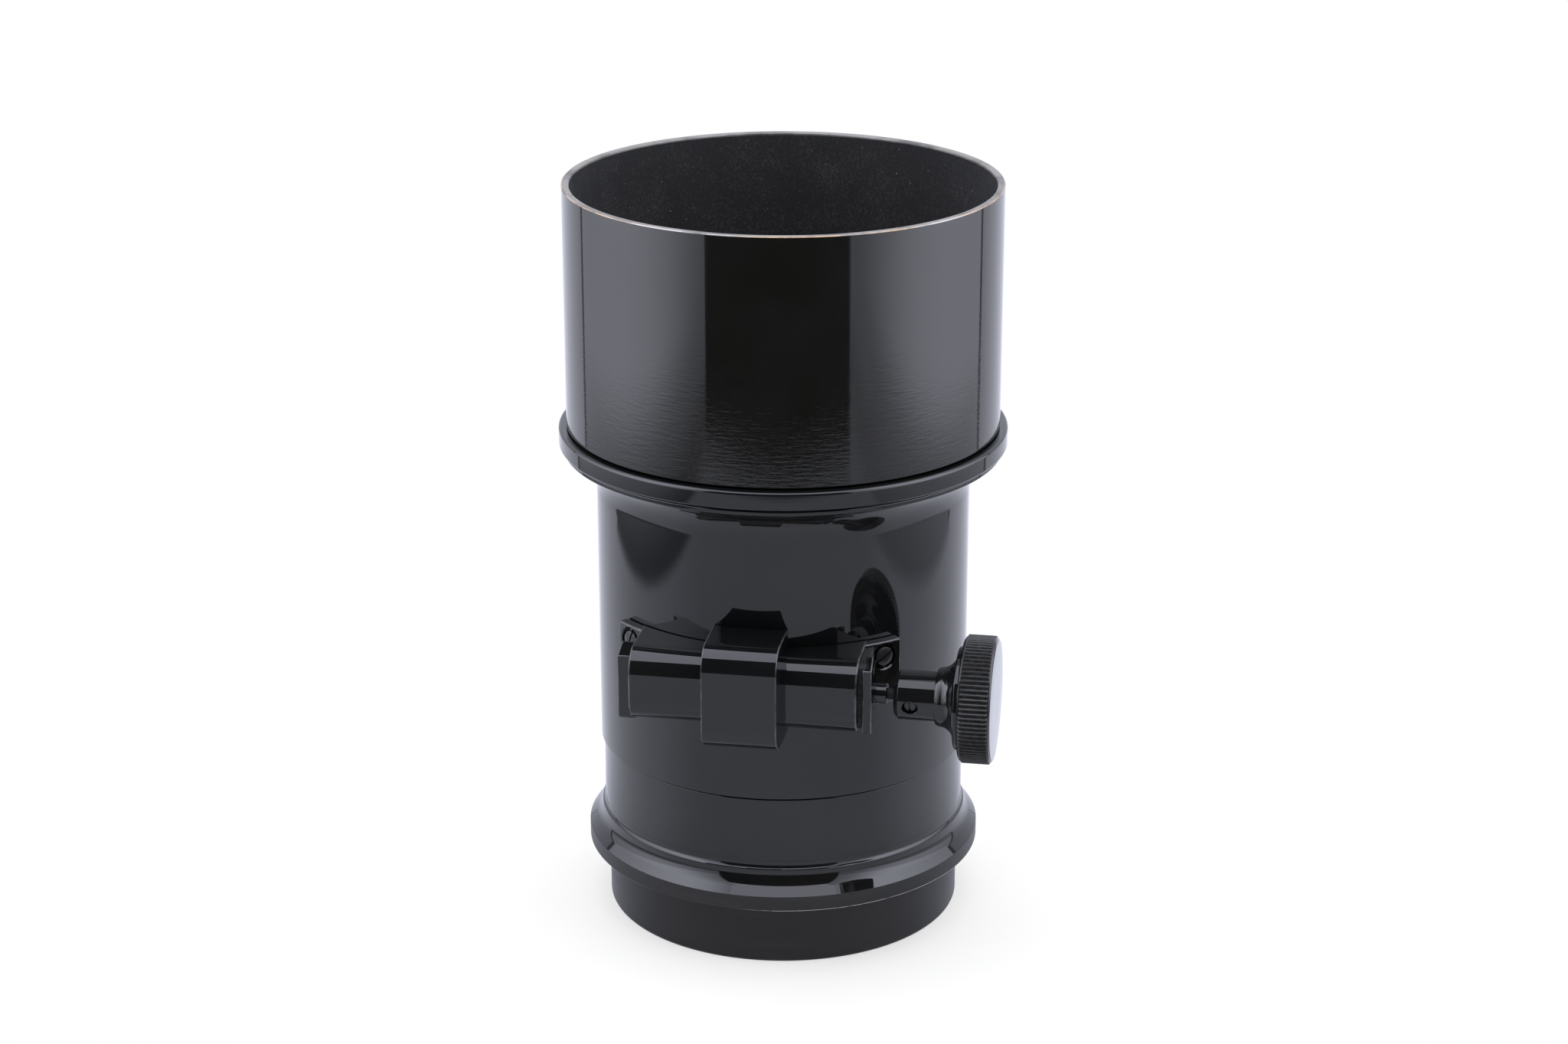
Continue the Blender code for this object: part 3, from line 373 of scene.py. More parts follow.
def turnedShape(outline, steps, closed=True, place=None, ripple=None):
    bm = bmesh.new()
    drawn = eased(outline, closed)
    rings = []
    for across, along, skin in drawn:
        if across < hair:
            rings.append([bm.verts.new((0, 0, along))] * steps)
            continue
        ring = []
        for i in range(steps):
            turn = 2 * pi * i / steps
            reach = across
            if ripple and skin == ripple["skin"]:
                reach -= ripple["depth"] * abs(sin(turn * ripple["count"] / 2)) ** ripple["sharp"]
            ring.append(bm.verts.new((reach * cos(turn), reach * sin(turn), along)))
        rings.append(ring)
    for i in range(len(rings) - (0 if closed else 1)):
        here = rings[i]
        there = rings[(i + 1) % len(rings)]
        for j in range(steps):
            k = (j + 1) % steps
            corners = []
            for vert in (here[j], here[k], there[k], there[j]):
                if vert not in corners:
                    corners.append(vert)
            if len(corners) > 2:
                bm.faces.new(corners).material_index = drawn[i][2]
    if place:
        bm.transform(place)
    return faced(bm)


def barShape(outline, start, end, skin=0):   # side outline (y, z, radius, finish) run along x
    bm = bmesh.new()
    drawn = eased(outline, True, 10)
    ends = [[bm.verts.new((x, y, z)) for y, z, _ in drawn] for x in (start, end)]
    for i in range(len(drawn)):
        k = (i + 1) % len(drawn)
        bm.faces.new((ends[0][i], ends[0][k], ends[1][k], ends[1][i]))
    bm.faces.new(ends[0])
    bm.faces.new(ends[1])
    for face in bm.faces:
        face.material_index = skin
    return faced(bm)


def boxShape(low, high):
    bm = bmesh.new()
    bmesh.ops.create_cube(bm, size=1)
    low = Vector(low)
    high = Vector(high)
    size = high - low
    bm.transform(Matrix.Translation((low + high) / 2) @ Matrix.Diagonal((*size, 1)))
    return bm


def softened(bm, width):   # rounds the sharp edges and gives them the third finish
    limit = radians(40)
    sharp = [e for e in bm.edges if len(e.link_faces) == 2 and e.calc_face_angle() > limit]
    bmesh.ops.bevel(bm, geom=sharp, offset=width, segments=3, affect="EDGES", profile=0.5, material=2)
    return bm


def carved(bm, tool, operation="DIFFERENCE"):
    pair = []
    for shape in (bm, tool):
        mesh = bpy.data.meshes.new("workpiece")
        shape.to_mesh(mesh)
        shape.free()
        for i in range(3):   # empty slots, so that the faces keep their finish
            mesh.materials.append(None)
        pair.append(bpy.data.objects.new("workpiece", mesh))
        scene.collection.objects.link(pair[-1])
    cut = pair[0].modifiers.new("cut", "BOOLEAN")
    cut.object = pair[1]
    cut.operation = operation
    cut.solver = "EXACT"
    result = bmesh.new()
    result.from_mesh(pair[0].evaluated_get(bpy.context.evaluated_depsgraph_get()).to_mesh())
    for made in pair:
        mesh = made.data
        bpy.data.objects.remove(made)
        bpy.data.meshes.remove(mesh)
    return result


def addPiece(name, bm, skins, body, replaced, sharpAngle=32):
    mesh = bpy.data.meshes.new(name)
    bmesh.ops.remove_doubles(bm, verts=bm.verts, dist=hair)
    faced(bm).to_mesh(mesh)
    bm.free()
    for skin in skins:
        mesh.materials.append(finishes[skin])
    mesh.shade_smooth()
    mesh.set_sharp_from_angle(angle=radians(sharpAngle))
    made = bpy.data.objects.new(name, mesh)
    scene.collection.objects.link(made)
    even = made.modifiers.new("evenShading", "WEIGHTED_NORMAL")
    even.keep_sharp = True
    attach(made, body)
    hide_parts(*replaced)


past = 1 * mm   # how far a cutting tool runs past the surface

# Hood: lacquered outside, flat black inside, worn bright round the rim
look = {
    "wall": 1.28 * mm, "rimRound": 0.17 * mm, "rimWorn": 0.204 * mm, "innerRound": 0.3 * mm,
    "wornDepth": 0.45 * mm, "footRound": 0.2 * mm, "steps": 256,
}
low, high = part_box("hood")
outer = high.x
bore = outer - look["wall"]
addPiece("hood_shell", turnedShape([
    (outer, low.z, look["footRound"]), (outer, high.z, look["rimRound"], 1),
    (outer - look["rimWorn"], high.z, 0, 3), (bore, high.z, look["innerRound"], 3),
    (bore, high.z - look["wornDepth"], 0, 2), (bore, low.z, look["footRound"], 2),
], look["steps"]), ["hoodLacquer", "bareRim", "hoodFlat", "rimTop"], "hood", ["hood"])

# Seat ring that the hood stands on
look = {
    "topRound": 0.5 * mm, "footRound": 0.35 * mm, "spigotWall": 1.4 * mm, "spigotRound": 0.25 * mm,
    "hoodGap": 0.3 * mm, "height": 3.05 * mm, "skirt": 3.0 * mm, "skirtOuter": 29.75 * mm,
    "skirtBore": 28.65 * mm, "steps": 256,
}
low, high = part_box("seat_ring")
outer = high.x
ringBase = low.z + look["skirt"]
ringTop = ringBase + look["height"]
ledge = ringBase + look["height"] / 2
spigot = bore - look["hoodGap"]
spigotBore = spigot - look["spigotWall"]
addPiece("ring_under_hood", turnedShape([
    (spigot, high.z, look["spigotRound"], 1), (spigot, ringTop), (outer, ringTop, look["topRound"]),
    (outer, ringBase, look["footRound"]), (look["skirtOuter"], ringBase, 0, 1),
    (look["skirtOuter"], low.z, 0, 1), (look["skirtBore"], low.z, 0, 1), (look["skirtBore"], ledge, 0, 1),
    (spigotBore, ledge, 0, 1), (spigotBore, high.z, look["spigotRound"], 1),
], look["steps"]), ["lacquer", "cellFlat"], "focus_carriage", ["seat_ring"])

# Focusing sleeve with its cove, the slot for stops at the back and the pinion window
look = {
    "wall": 1.25 * mm, "radius": 31.3 * mm, "coveHeight": 6.3 * mm, "lip": 0.8 * mm, "step": 0.5 * mm,
    "topRound": 0.2 * mm, "lipRound": 0.15 * mm, "footEdge": 0.09 * mm, "edgeRound": 0.06 * mm,
    "boreRound": 0.1 * mm, "coveSteps": 20, "steps": 224, "slotWidth": 40 * mm, "slotFrom": 0.4,
    "slotLow": 68.9 * mm, "slotHigh": 71.1 * mm, "windowHalf": 7.2 * mm, "windowHigh": 4.7 * mm,
    "windowBack": 26.9 * mm,
}
pinionHeight = 51.1 * mm
pinionReach = 32.55 * mm
low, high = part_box("outer_sleeve")
coveOuter = high.x
sleeve = look["radius"]
sleeveBore = sleeve - look["wall"]
coveRun = coveOuter - look["step"] - sleeve
coveBase = high.z - look["lip"] - look["coveHeight"]
outline = [
    (sleeveBore, high.z, 0, 1), (coveOuter, high.z, look["topRound"]),
    (coveOuter, high.z - look["lip"], look["lipRound"]),
]
for i in range(look["coveSteps"] + 1):
    turn = pi / 2 * i / look["coveSteps"]
    outline.append((sleeve + coveRun * (1 - sin(turn)), coveBase + look["coveHeight"] * cos(turn)))
edge = look["footEdge"]
outline += [
    (sleeve, low.z + edge, look["edgeRound"]), (sleeve - edge, low.z, look["edgeRound"]),
    (sleeveBore, low.z, look["boreRound"], 1),
]
shape = turnedShape(outline, look["steps"])
half = look["slotWidth"] / 2
shape = carved(shape, boxShape(
    (-half, sleeveBore * look["slotFrom"], look["slotLow"]), (half, sleeve + past, look["slotHigh"])))
half = look["windowHalf"]
shape = carved(shape, boxShape(
    (-half, -sleeve - past, pinionHeight - look["windowHigh"]),
    (half, -look["windowBack"], pinionHeight + look["windowHigh"])))
addPiece("focusing_sleeve", shape, ["lacquer", "cellFlat"], "focus_carriage", ["outer_sleeve"])

# Rear tube: its collar shows below the sleeve, the rest when the sleeve is racked out
look = {
    "radius": 29.75 * mm, "bore": 28.0 * mm, "collarTop": 30.0 * mm, "collarBase": 18.92 * mm,
    "spigot": 29.15 * mm, "foot": 27.4 * mm, "collarRound": 0.15 * mm, "endRound": 0.2 * mm, "steps": 224,
    "rackGap": 0.3 * mm,
}
low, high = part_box("rear_tube")
collar = high.x
collarBase = look["collarBase"]
shape = turnedShape([
    (look["radius"], high.z, look["endRound"], 1), (look["radius"], look["collarTop"]),
    (collar, look["collarTop"], look["collarRound"]), (collar, collarBase),
    (look["spigot"], collarBase, 0, 2), (look["spigot"], low.z, 0, 2), (look["foot"], low.z, 0, 2),
    (look["foot"], collarBase, 0, 2), (look["bore"], collarBase, 0, 2),
    (look["bore"], high.z, look["endRound"], 2),
], look["steps"])
rackLow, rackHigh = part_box("rack")
gap = look["rackGap"]
shape = carved(shape, boxShape(
    (rackLow.x - gap, -collar, rackLow.z - gap), (rackHigh.x + gap, rackHigh.y + past, rackHigh.z + gap)))
addPiece("collar_tube", shape, ["lacquer", "lacquer", "cellFlat"], "rear_group", ["rear_tube"])

# Bead: a small cove under the collar, a larger one that runs straight out to the lip, and a satin band
look = {
    "band": 2.58 * mm, "neck": 0.95 * mm, "neckTo": 60.0, "neckSteps": 8, "step": 0.2 * mm,
    "cove": 3.5 * mm, "coveTo": 46.5, "coveSteps": 16, "lipRound": 0.08 * mm, "bore": 29.45 * mm,
    "footRound": 0.14 * mm, "steps": 256,
}
low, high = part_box("flange_bead")
outer = high.x
lip = low.z + look["band"]


def coveOutline(reach, top, radius, turnTo, steps):   # hollow curve, upright at its top
    curve = []
    for i in range(steps + 1):
        turn = turnTo * i / steps
        curve.append((reach + radius * (1 - cos(turn)), top - radius * sin(turn)))
    return curve


neckTurn = radians(look["neckTo"])
coveTurn = radians(look["coveTo"])
waist = collar + look["neck"] * (1 - cos(neckTurn))
slopeRun = outer - waist - look["cove"] * (1 - cos(coveTurn))
coveTop = lip + slopeRun / tan(coveTurn) + look["cove"] * sin(coveTurn)
neckTop = coveTop + look["step"] + look["neck"] * sin(neckTurn)
outline = [(look["bore"], high.z), (collar, high.z)]
outline += coveOutline(collar, neckTop, look["neck"], neckTurn, look["neckSteps"])
outline += coveOutline(waist, coveTop, look["cove"], coveTurn, look["coveSteps"])
# the bead's foot edge takes the painted highlight line
outline += [(outer, lip, look["lipRound"], 1), (outer, low.z, look["footRound"], 2), (look["bore"], low.z)]
addPiece("bead_flange", turnedShape(outline, look["steps"]), ["lacquer", "capPlastic", "paintedFootHighlight"],
         "rear_group", ["flange_bead"], sharpAngle=36)

# Rear cap that the lens stands on: a moulded cup with a dished foot
look = {
    "wall": 1.8 * mm, "floor": 2.0 * mm, "floorRound": 0.4 * mm, "topRound": 0.25 * mm,
    "boreRound": 0.2 * mm, "footRound": 0.7 * mm, "dish": 0.5 * mm, "dishRadius": 25.5 * mm,
    "dishRun": 0.6 * mm, "dishRound": 0.2 * mm, "steps": 224,
}
low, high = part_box("rear_cap")
outer = high.x
bore = outer - look["wall"]
addPiece("cap_cup", turnedShape([
    (0, look["floor"]), (bore, look["floor"], look["floorRound"]), (bore, high.z, look["boreRound"]),
    (outer, high.z, look["topRound"]), (outer, 0, look["footRound"]),
    (look["dishRadius"] + look["dishRun"], 0, look["dishRound"]),
    (look["dishRadius"], look["dish"], look["dishRound"]), (0, look["dish"]),
], look["steps"], closed=False), ["capPlastic"], "rear_cap", ["rear_cap"])
print("turned pieces made")

# Focusing housing: saddle on the sleeve, rounded bar, centre block and end plates
housingLook = {
    "seat": 31.6 * mm, "saddle": 33.2 * mm, "saddleAngle": 45.0, "saddleLow": 46.3 * mm,
    "saddleHigh": 57.2 * mm, "saddleSink": 1 * mm, "saddleSteps": 40, "back": 21.6 * mm, "round": 0.38 * mm,
    "barLeft": 18.9 * mm, "barRight": 18.25 * mm, "barHeight": 12.4 * mm, "barReach": 37.7 * mm,
    "barRound": 4.1 * mm, "barEdge": 0.3 * mm,
    "blockHalf": 6.1 * mm, "blockReach": 42.3 * mm, "blockLow": 42.9 * mm, "blockHigh": 60.4 * mm,
    "blockRound": 4.1 * mm, "blockFoot": 3.8 * mm, "blockEdge": 0.22 * mm,
    "plateInner": {-1: 18.15 * mm, 1: 18.95 * mm}, "plateOuter": {-1: 20.95 * mm, 1: 20.45 * mm},
    "plateTaper": 0.9 * mm, "plateReach": 36.05 * mm, "plateLow": 45.1 * mm, "plateFoot": 0.6 * mm,
    "plateHigh": 57.25 * mm, "plateFace": 56.0 * mm, "plateSlope": 3.0 * mm, "tab": 0.6 * mm,
    "plateRear": 54.2 * mm, "plateEdge": 0.18 * mm,
    "webReach": 35.7 * mm, "webLow": 0.8 * mm, "webHigh": 0.6 * mm, "webRound": 0.5 * mm, "webIn": 1 * mm,
    "webOut": 0.5 * mm,
    "hollowLow": 20 * mm, "hollowHigh": 80 * mm, "hollowSteps": 160,
    "boreStart": -18.75 * mm, "shaftBore": 2.85 * mm, "shaftHole": 1.95 * mm, "holeDepth": 0.2 * mm,
    "chamber": 4.58 * mm, "chamberHalf": 3.2 * mm, "boreSteps": 48,
}
earLook = {
    "angle": 39.5, "height": 54.6 * mm, "recess": 2.12 * mm, "recessFloor": 32.3 * mm,
    "recessEdge": 0.2 * mm, "edgeDepth": 0.25 * mm, "hole": 1.05 * mm, "reach": 2 * mm, "steps": 56,
    "head": 1.55 * mm, "shank": 0.75 * mm, "tip": 30.3 * mm, "headLift": 0.3 * mm, "proud": 0.05 * mm,
    "slotHalf": 0.17 * mm, "slotDepth": 0.45 * mm, "tilt": {-1: 70.0, 1: 30.0},
}
look = housingLook


def saddleShape(look):
    bm = bmesh.new()
    reach = radians(look["saddleAngle"])
    count = look["saddleSteps"]
    inner = look["seat"] - look["saddleSink"]
    rows = []
    for i in range(count + 1):
        turn = -pi / 2 - reach + 2 * reach * i / count
        rows.append([bm.verts.new((r * cos(turn), r * sin(turn), z)) for r, z in (
            (inner, look["saddleLow"]), (look["saddle"], look["saddleLow"]),
            (look["saddle"], look["saddleHigh"]), (inner, look["saddleHigh"]))])
    for i in range(count):
        for j in range(4):
            k = (j + 1) % 4
            bm.faces.new((rows[i][j], rows[i][k], rows[i + 1][k], rows[i + 1][j]))
    bm.faces.new(rows[0])
    bm.faces.new(rows[-1])
    return softened(faced(bm), look["round"])


def sideOutline(back, reach, low, high, lowRound, highRound):
    return [(-back, low), (-reach, low, lowRound), (-reach, high, highRound), (-back, high)]


housing = saddleShape(look)
earAims = {}
recess = earLook["recess"]
wide = recess + earLook["recessEdge"]
hole = earLook["hole"]
recessFloor = earLook["recessFloor"]
saddle = look["saddle"]
deep = recessFloor - earLook["reach"]
tall = saddle + earLook["reach"]
for side in (-1, 1):   # counterbores for the ear screws
    earAims[side] = (Matrix.Translation((0, 0, earLook["height"]))
                     @ Matrix.Rotation(side * radians(earLook["angle"]), 4, "Z")
                     @ Matrix.Rotation(pi / 2, 4, "X"))
    housing = carved(housing, turnedShape([
        (0, deep), (hole, deep), (hole, recessFloor), (recess, recessFloor),
        (recess, saddle - earLook["edgeDepth"]), (wide, saddle), (wide, tall), (0, tall),
    ], earLook["steps"], closed=False, place=earAims[side]))
back = look["back"]
halfBar = look["barHeight"] / 2
outline = sideOutline(back, look["barReach"], pinionHeight - halfBar, pinionHeight + halfBar,
                      look["barRound"], look["barRound"])
bar = barShape(outline, -look["barLeft"], look["barRight"])
housing = carved(housing, softened(bar, look["barEdge"]), "UNION")
outline = sideOutline(back, look["blockReach"], look["blockLow"], look["blockHigh"], look["blockFoot"],
                      look["blockRound"])
block = barShape(outline, -look["blockHalf"], look["blockHalf"])
housing = carved(housing, softened(block, look["blockEdge"]), "UNION")
outline = sideOutline(back, look["webReach"], look["plateLow"] + look["webLow"],
                      look["plateHigh"] - look["webHigh"], look["webRound"], look["webRound"])
web = barShape(outline, look["barRight"] - look["webIn"], look["plateInner"][1] + look["webOut"], 1)
housing = carved(housing, web, "UNION")
reach = look["plateReach"]
slopeEnd = look["plateSlope"] - reach
tabEnd = slopeEnd + look["tab"]
for side in (-1, 1):
    inner, outer = sorted((side * look["plateInner"][side], side * look["plateOuter"][side]))
    plate = barShape([
        (-back, look["plateLow"]), (-reach, look["plateLow"], look["plateFoot"]),
        (-reach, look["plateFace"]), (slopeEnd, look["plateHigh"]), (tabEnd, look["plateHigh"]),
        (tabEnd, look["plateRear"]), (-back, look["plateRear"]),
    ], inner, outer)
    middle = abs(inner + outer) / 2
    for vert in plate.verts:   # thinner towards the sleeve
        if abs(vert.co.x) > middle:
            share = (vert.co.y + reach) / (reach - back)
            vert.co.x -= side * look["plateTaper"] * share
    housing = carved(housing, softened(plate, look["plateEdge"]), "UNION")
housing = carved(housing, turnedShape([
    (0, look["hollowLow"]), (look["seat"], look["hollowLow"]), (look["seat"], look["hollowHigh"]),
    (0, look["hollowHigh"]),
], look["hollowSteps"], closed=False))
alongShaft = Matrix.Translation((0, -pinionReach, pinionHeight)) @ Matrix.Rotation(pi / 2, 4, "Y")
shaftBore = look["shaftBore"]
chamber = look["chamberHalf"]
outer = look["plateOuter"][1]
housing = carved(housing, turnedShape([
    (0, look["boreStart"]), (shaftBore, look["boreStart"]), (shaftBore, -chamber),
    (look["chamber"], -chamber), (look["chamber"], chamber), (shaftBore, chamber),
    (shaftBore, outer - look["holeDepth"]), (look["shaftHole"], outer - look["holeDepth"]),
    (look["shaftHole"], outer + past), (0, outer + past),
], look["boreSteps"], closed=False, place=alongShaft))
# the rounded edges take the rubbed finish with its painted highlight
addPiece("housing_casting", housing, ["castLacquer", "cellFlat", "rubbedEdgeHighlight"], "focus_carriage",
         ["focus_housing"], sharpAngle=28)

# Slotted screws in the ears and the set screw in the knob's hub
screwLook = {
    "tipRound": 0.1 * mm, "rimDrop": 0.12 * mm, "rimRound": 0.1 * mm, "crown": 0.55,
    "crownRound": 0.3 * mm, "slotReach": 1.5, "steps": 48,
}


def slottedScrew(size, seat, top, aim, tilt):
    head = size["head"]
    half = size["slotHalf"]
    screw = turnedShape([
        (0, size["tip"]), (size["shank"], size["tip"], screwLook["tipRound"]), (size["shank"], seat),
        (head, seat), (head, top - screwLook["rimDrop"], screwLook["rimRound"]),
        (head * screwLook["crown"], top, screwLook["crownRound"]), (0, top),
    ], screwLook["steps"], closed=False)
    reach = head * screwLook["slotReach"]
    slot = boxShape((-reach, -half, top - size["slotDepth"]), (reach, half, top + past))
    slot.transform(Matrix.Rotation(radians(tilt), 4, "Z"))
    screw = carved(screw, slot)
    screw.transform(aim)
    return screw


for side, word in ((-1, "left"), (1, "right")):
    screw = slottedScrew(earLook, recessFloor + earLook["headLift"], saddle + earLook["proud"],
                         earAims[side], earLook["tilt"][side])
    addPiece("ear_fixing_" + word, screw, ["blackSteel"], "focus_carriage", ["ear_screw_" + word])

# Knob: hub with its set screw, flare, trumpet and knurled rim
look = {
    "hub": 4.0 * mm, "hubStart": 23.9 * mm, "nose": 0.75 * mm, "noseRound": 0.12 * mm,
    "hubEnd": 30.55 * mm, "hubEdge": 0.05 * mm, "flare": 4.8 * mm, "flareIn": 0.25 * mm,
    "flareStep": 0.08 * mm, "flareStart": 31.29 * mm, "trumpetEnd": 33.85 * mm, "disc": 8.3 * mm,
    "discLip": 0.2 * mm, "discEnd": 34.7 * mm, "rim": 10.3 * mm, "rimEnd": 40.05 * mm, "lip": 0.16 * mm,
    "lipOver": 0.15 * mm, "ribEase": 0.02 * mm, "slopeAt": 1.6, "ribAt": 2.6, "faceFlat": 0.4,
    "edge": 0.24 * mm, "edgeIn": 0.25 * mm, "smallRound": 0.1 * mm, "faceRound": 0.2 * mm,
    "bore": 1.95 * mm, "boreEnd": 32.05 * mm, "ribs": 84, "ribDepth": 0.42 * mm, "ribSharp": 2.2,
    "stepsPerRib": 10, "curveSteps": 12,
}
outline = [
    (0, look["boreEnd"]), (look["bore"], look["boreEnd"]),
    (look["bore"], look["hubStart"], look["smallRound"]),
    (look["hub"] - look["nose"], look["hubStart"], look["noseRound"]),
    (look["hub"], look["hubStart"] + look["nose"], look["noseRound"]),
    (look["hub"], look["hubEnd"], look["hubEdge"]),
    (look["flare"] - look["flareIn"], look["hubEnd"] + look["flareStep"], look["noseRound"]),
]
flareRun = look["disc"] - look["discLip"] - look["flare"]
flareRise = look["trumpetEnd"] - look["flareStart"]
for i in range(look["curveSteps"] + 1):
    turn = pi / 2 * i / look["curveSteps"]
    outline.append((look["flare"] + flareRun * (1 - cos(turn)), look["flareStart"] + flareRise * sin(turn)))
rim = look["rim"]
valley = rim - look["ribDepth"]
crest = valley + look["lipOver"]
slope = rim - look["ribEase"]
start = look["discEnd"] + look["edge"]
end = look["rimEnd"] - look["edge"]
lip = look["lip"]
outline += [
    (look["disc"], look["trumpetEnd"] + look["discLip"], look["smallRound"]),
    (look["disc"], look["discEnd"]), (valley - look["edgeIn"], look["discEnd"], look["smallRound"]),
    (crest, start, look["smallRound"]), (crest, start + lip),
    (slope, start + look["slopeAt"] * lip, 0, 1), (rim, start + look["ribAt"] * lip, 0, 1),
    (rim, end - look["ribAt"] * lip, 0, 1), (slope, end - look["slopeAt"] * lip, 0, 1),
    (crest, end - lip), (crest, end, look["noseRound"]),
    (valley - look["edgeIn"], look["rimEnd"], look["faceRound"]),
    (rim * look["faceFlat"], look["rimEnd"]), (0, look["rimEnd"]),
]
ripple = {"skin": 1, "count": look["ribs"], "depth": look["ribDepth"], "sharp": look["ribSharp"]}
knob = turnedShape(outline, look["ribs"] * look["stepsPerRib"], False, alongShaft, ripple)
setLook = {
    "place": 26.65 * mm, "angle": 99.9, "hole": 1.2 * mm, "holeFloor": 1.0 * mm, "edge": 0.15 * mm,
    "holeTop": 5 * mm, "steps": 40, "head": 1.0 * mm, "shank": 0.8 * mm, "tip": 1.75 * mm,
    "seat": 2.0 * mm, "top": 3.55 * mm, "tilt": 90.0, "slotHalf": 0.22 * mm, "slotDepth": 0.5 * mm,
}
setAim = (Matrix.Translation((setLook["place"], -pinionReach, pinionHeight))
          @ Matrix.Rotation(radians(setLook["angle"]), 4, "X"))
hole = setLook["hole"]
edge = setLook["edge"]
knob = carved(knob, turnedShape([
    (0, setLook["holeFloor"]), (hole, setLook["holeFloor"]), (hole, look["hub"] - edge),
    (hole + 2 * edge, look["hub"] + edge), (0, setLook["holeTop"]),
], setLook["steps"], closed=False, place=setAim))
addPiece("knob_turned", knob, ["knobLacquer", "knurlLacquer"], "pinion", ["focus_knob"],
         sharpAngle=38)
screw = slottedScrew(setLook, setLook["seat"], setLook["top"], setAim, setLook["tilt"])
addPiece("hub_set_screw", screw, ["blackSteel"], "pinion", ["set_screw"])

# Pinion shaft: a stub beside the end plate and a thinner neck inside the hub
look = {
    "stubEnd": 22.6 * mm, "neck": 0.75 * mm, "stubRound": 0.25 * mm, "endRound": 0.15 * mm,
    "stubStep": 0.05 * mm, "steps": 48,
}
low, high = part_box("pinion_shaft")
radius = (high.z - low.z) / 2
thin = radius - look["neck"]
addPiece("shaft_turned", turnedShape([
    (0, low.x), (radius, low.x, look["endRound"]), (radius, look["stubEnd"], look["stubRound"]),
    (thin, look["stubEnd"] + look["stubStep"], 0, 1), (thin, high.x, look["endRound"], 1),
    (0, high.x, 0, 1),
], look["steps"], closed=False, place=alongShaft), ["knobLacquer", "cellFlat"], "pinion", ["pinion_shaft"])
print("housing, screws and knob made")

# Front cell down inside the hood, with its filter thread
look = {
    "filterOuter": 30.6 * mm, "filterBore": 29.0 * mm, "filterRound": 0.2 * mm, "threadDepth": 0.4 * mm,
    "threadDrop": 0.3 * mm, "pitch": 0.75 * mm, "turns": 4, "ledgeGap": 0.3 * mm, "cell": 28.35 * mm,
    "step": 77.0 * mm, "neck": 23.3 * mm, "lip": 19.2 * mm, "floor": 74.15 * mm, "glassBore": 20.8 * mm,
    "filterFloor": 85.325 * mm, "steps": 160,
}
low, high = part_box("front_cell")
ledgeUp = ledge + look["ledgeGap"]
thread = look["filterBore"]
threadTop = high.z - look["threadDrop"]
outline = [
    (look["filterOuter"], high.z, look["filterRound"]), (look["filterOuter"], ledgeUp),
    (look["cell"], ledgeUp), (look["cell"], look["step"]), (look["neck"], look["step"]),
    (look["neck"], low.z), (look["lip"], low.z), (look["lip"], look["floor"]),
    (look["glassBore"], look["floor"]), (look["glassBore"], ledge - look["ledgeGap"]),
    (thread, look["filterFloor"]),
]
for i in range(look["turns"]):
    start = threadTop - (look["turns"] - i) * look["pitch"]
    outline += [(thread, start), (thread + look["threadDepth"], start + look["pitch"] / 2)]
outline += [(thread, threadTop), (thread + look["threadDrop"], high.z)]
addPiece("front_cell_threaded", turnedShape(outline, look["steps"]), ["cellFlat"], "focus_carriage",
         ["front_cell"])

# Retainer of the front glass: low steps up to the flat of the ring, and two slots for a key
look = {
    "inner": 19.2 * mm, "shoulder": 85.6 * mm, "skirt": 20.5 * mm, "topRound": 0.15 * mm, "flat": 3 * mm,
    "stairs": 4, "stairDrop": 0.12 * mm, "slotWide": 1.6 * mm, "slotDeep": 0.5 * mm, "slotLong": 2.4 * mm,
    "slotIn": 0.2 * mm, "steps": 128,
}
low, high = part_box("front_retainer")
outer = high.x
inner = look["inner"]
outline = [
    (outer, high.z, look["topRound"]), (outer, look["shoulder"]), (look["skirt"], look["shoulder"]),
    (look["skirt"], low.z), (inner, low.z),
]
stairRun = (outer - look["flat"] - inner) / look["stairs"]
for i in range(look["stairs"]):
    level = high.z - (look["stairs"] - i) * look["stairDrop"]
    outline += [(inner + i * stairRun, level), (inner + (i + 1) * stairRun, level)]
outline.append((outer - look["flat"], high.z))
shape = turnedShape(outline, look["steps"])
halfLong = look["slotLong"] / 2
halfWide = look["slotWide"] / 2
for side in (-1, 1):
    middle = side * (outer - look["slotIn"] - halfLong)
    shape = carved(shape, boxShape(
        (middle - halfLong, -halfWide, high.z - look["slotDeep"]),
        (middle + halfLong, halfWide, high.z + past)))
addPiece("front_retainer_stepped", shape, ["cellFlat"], "focus_carriage", ["front_retainer"])

# Front glass
look = {"curve": 60 * mm, "rings": 14, "steps": 128}
low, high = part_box("front_crown")
radius = high.x
front = []
back = []
for i in range(look["rings"] + 1):
    reach = radius * i / look["rings"]
    drop = look["curve"] - sqrt(look["curve"] ** 2 - reach * reach)
    front.append((reach, high.z - drop))
    back.append((reach, low.z + drop))
addPiece("front_glass", turnedShape(front + back[::-1], look["steps"], closed=False), ["lensGlass"],
         "focus_carriage", ["front_crown"])

# Finishes for the nodes that keep their own shape
nodeFinish = {
    "cellFlat": ("mount_ring", "inner_barrel", "rear_cell", "rear_retainer"),
    "brass": ("rack", "pinion_gear", "rear_spacer"), "castLacquer": ("shaft_bush_left", "shaft_bush_right"),
    "brightSteel": ("mount_screw_1", "mount_screw_2", "mount_screw_3"), "plating": ("bayonet",),
    "lensGlass": ("front_flint", "rear_flint", "rear_crown"),
}
for skin, names in nodeFinish.items():
    for name in names:
        for place in nodes[name].material_slots:
            place.material = finishes[skin]
print("front cell and glass made")

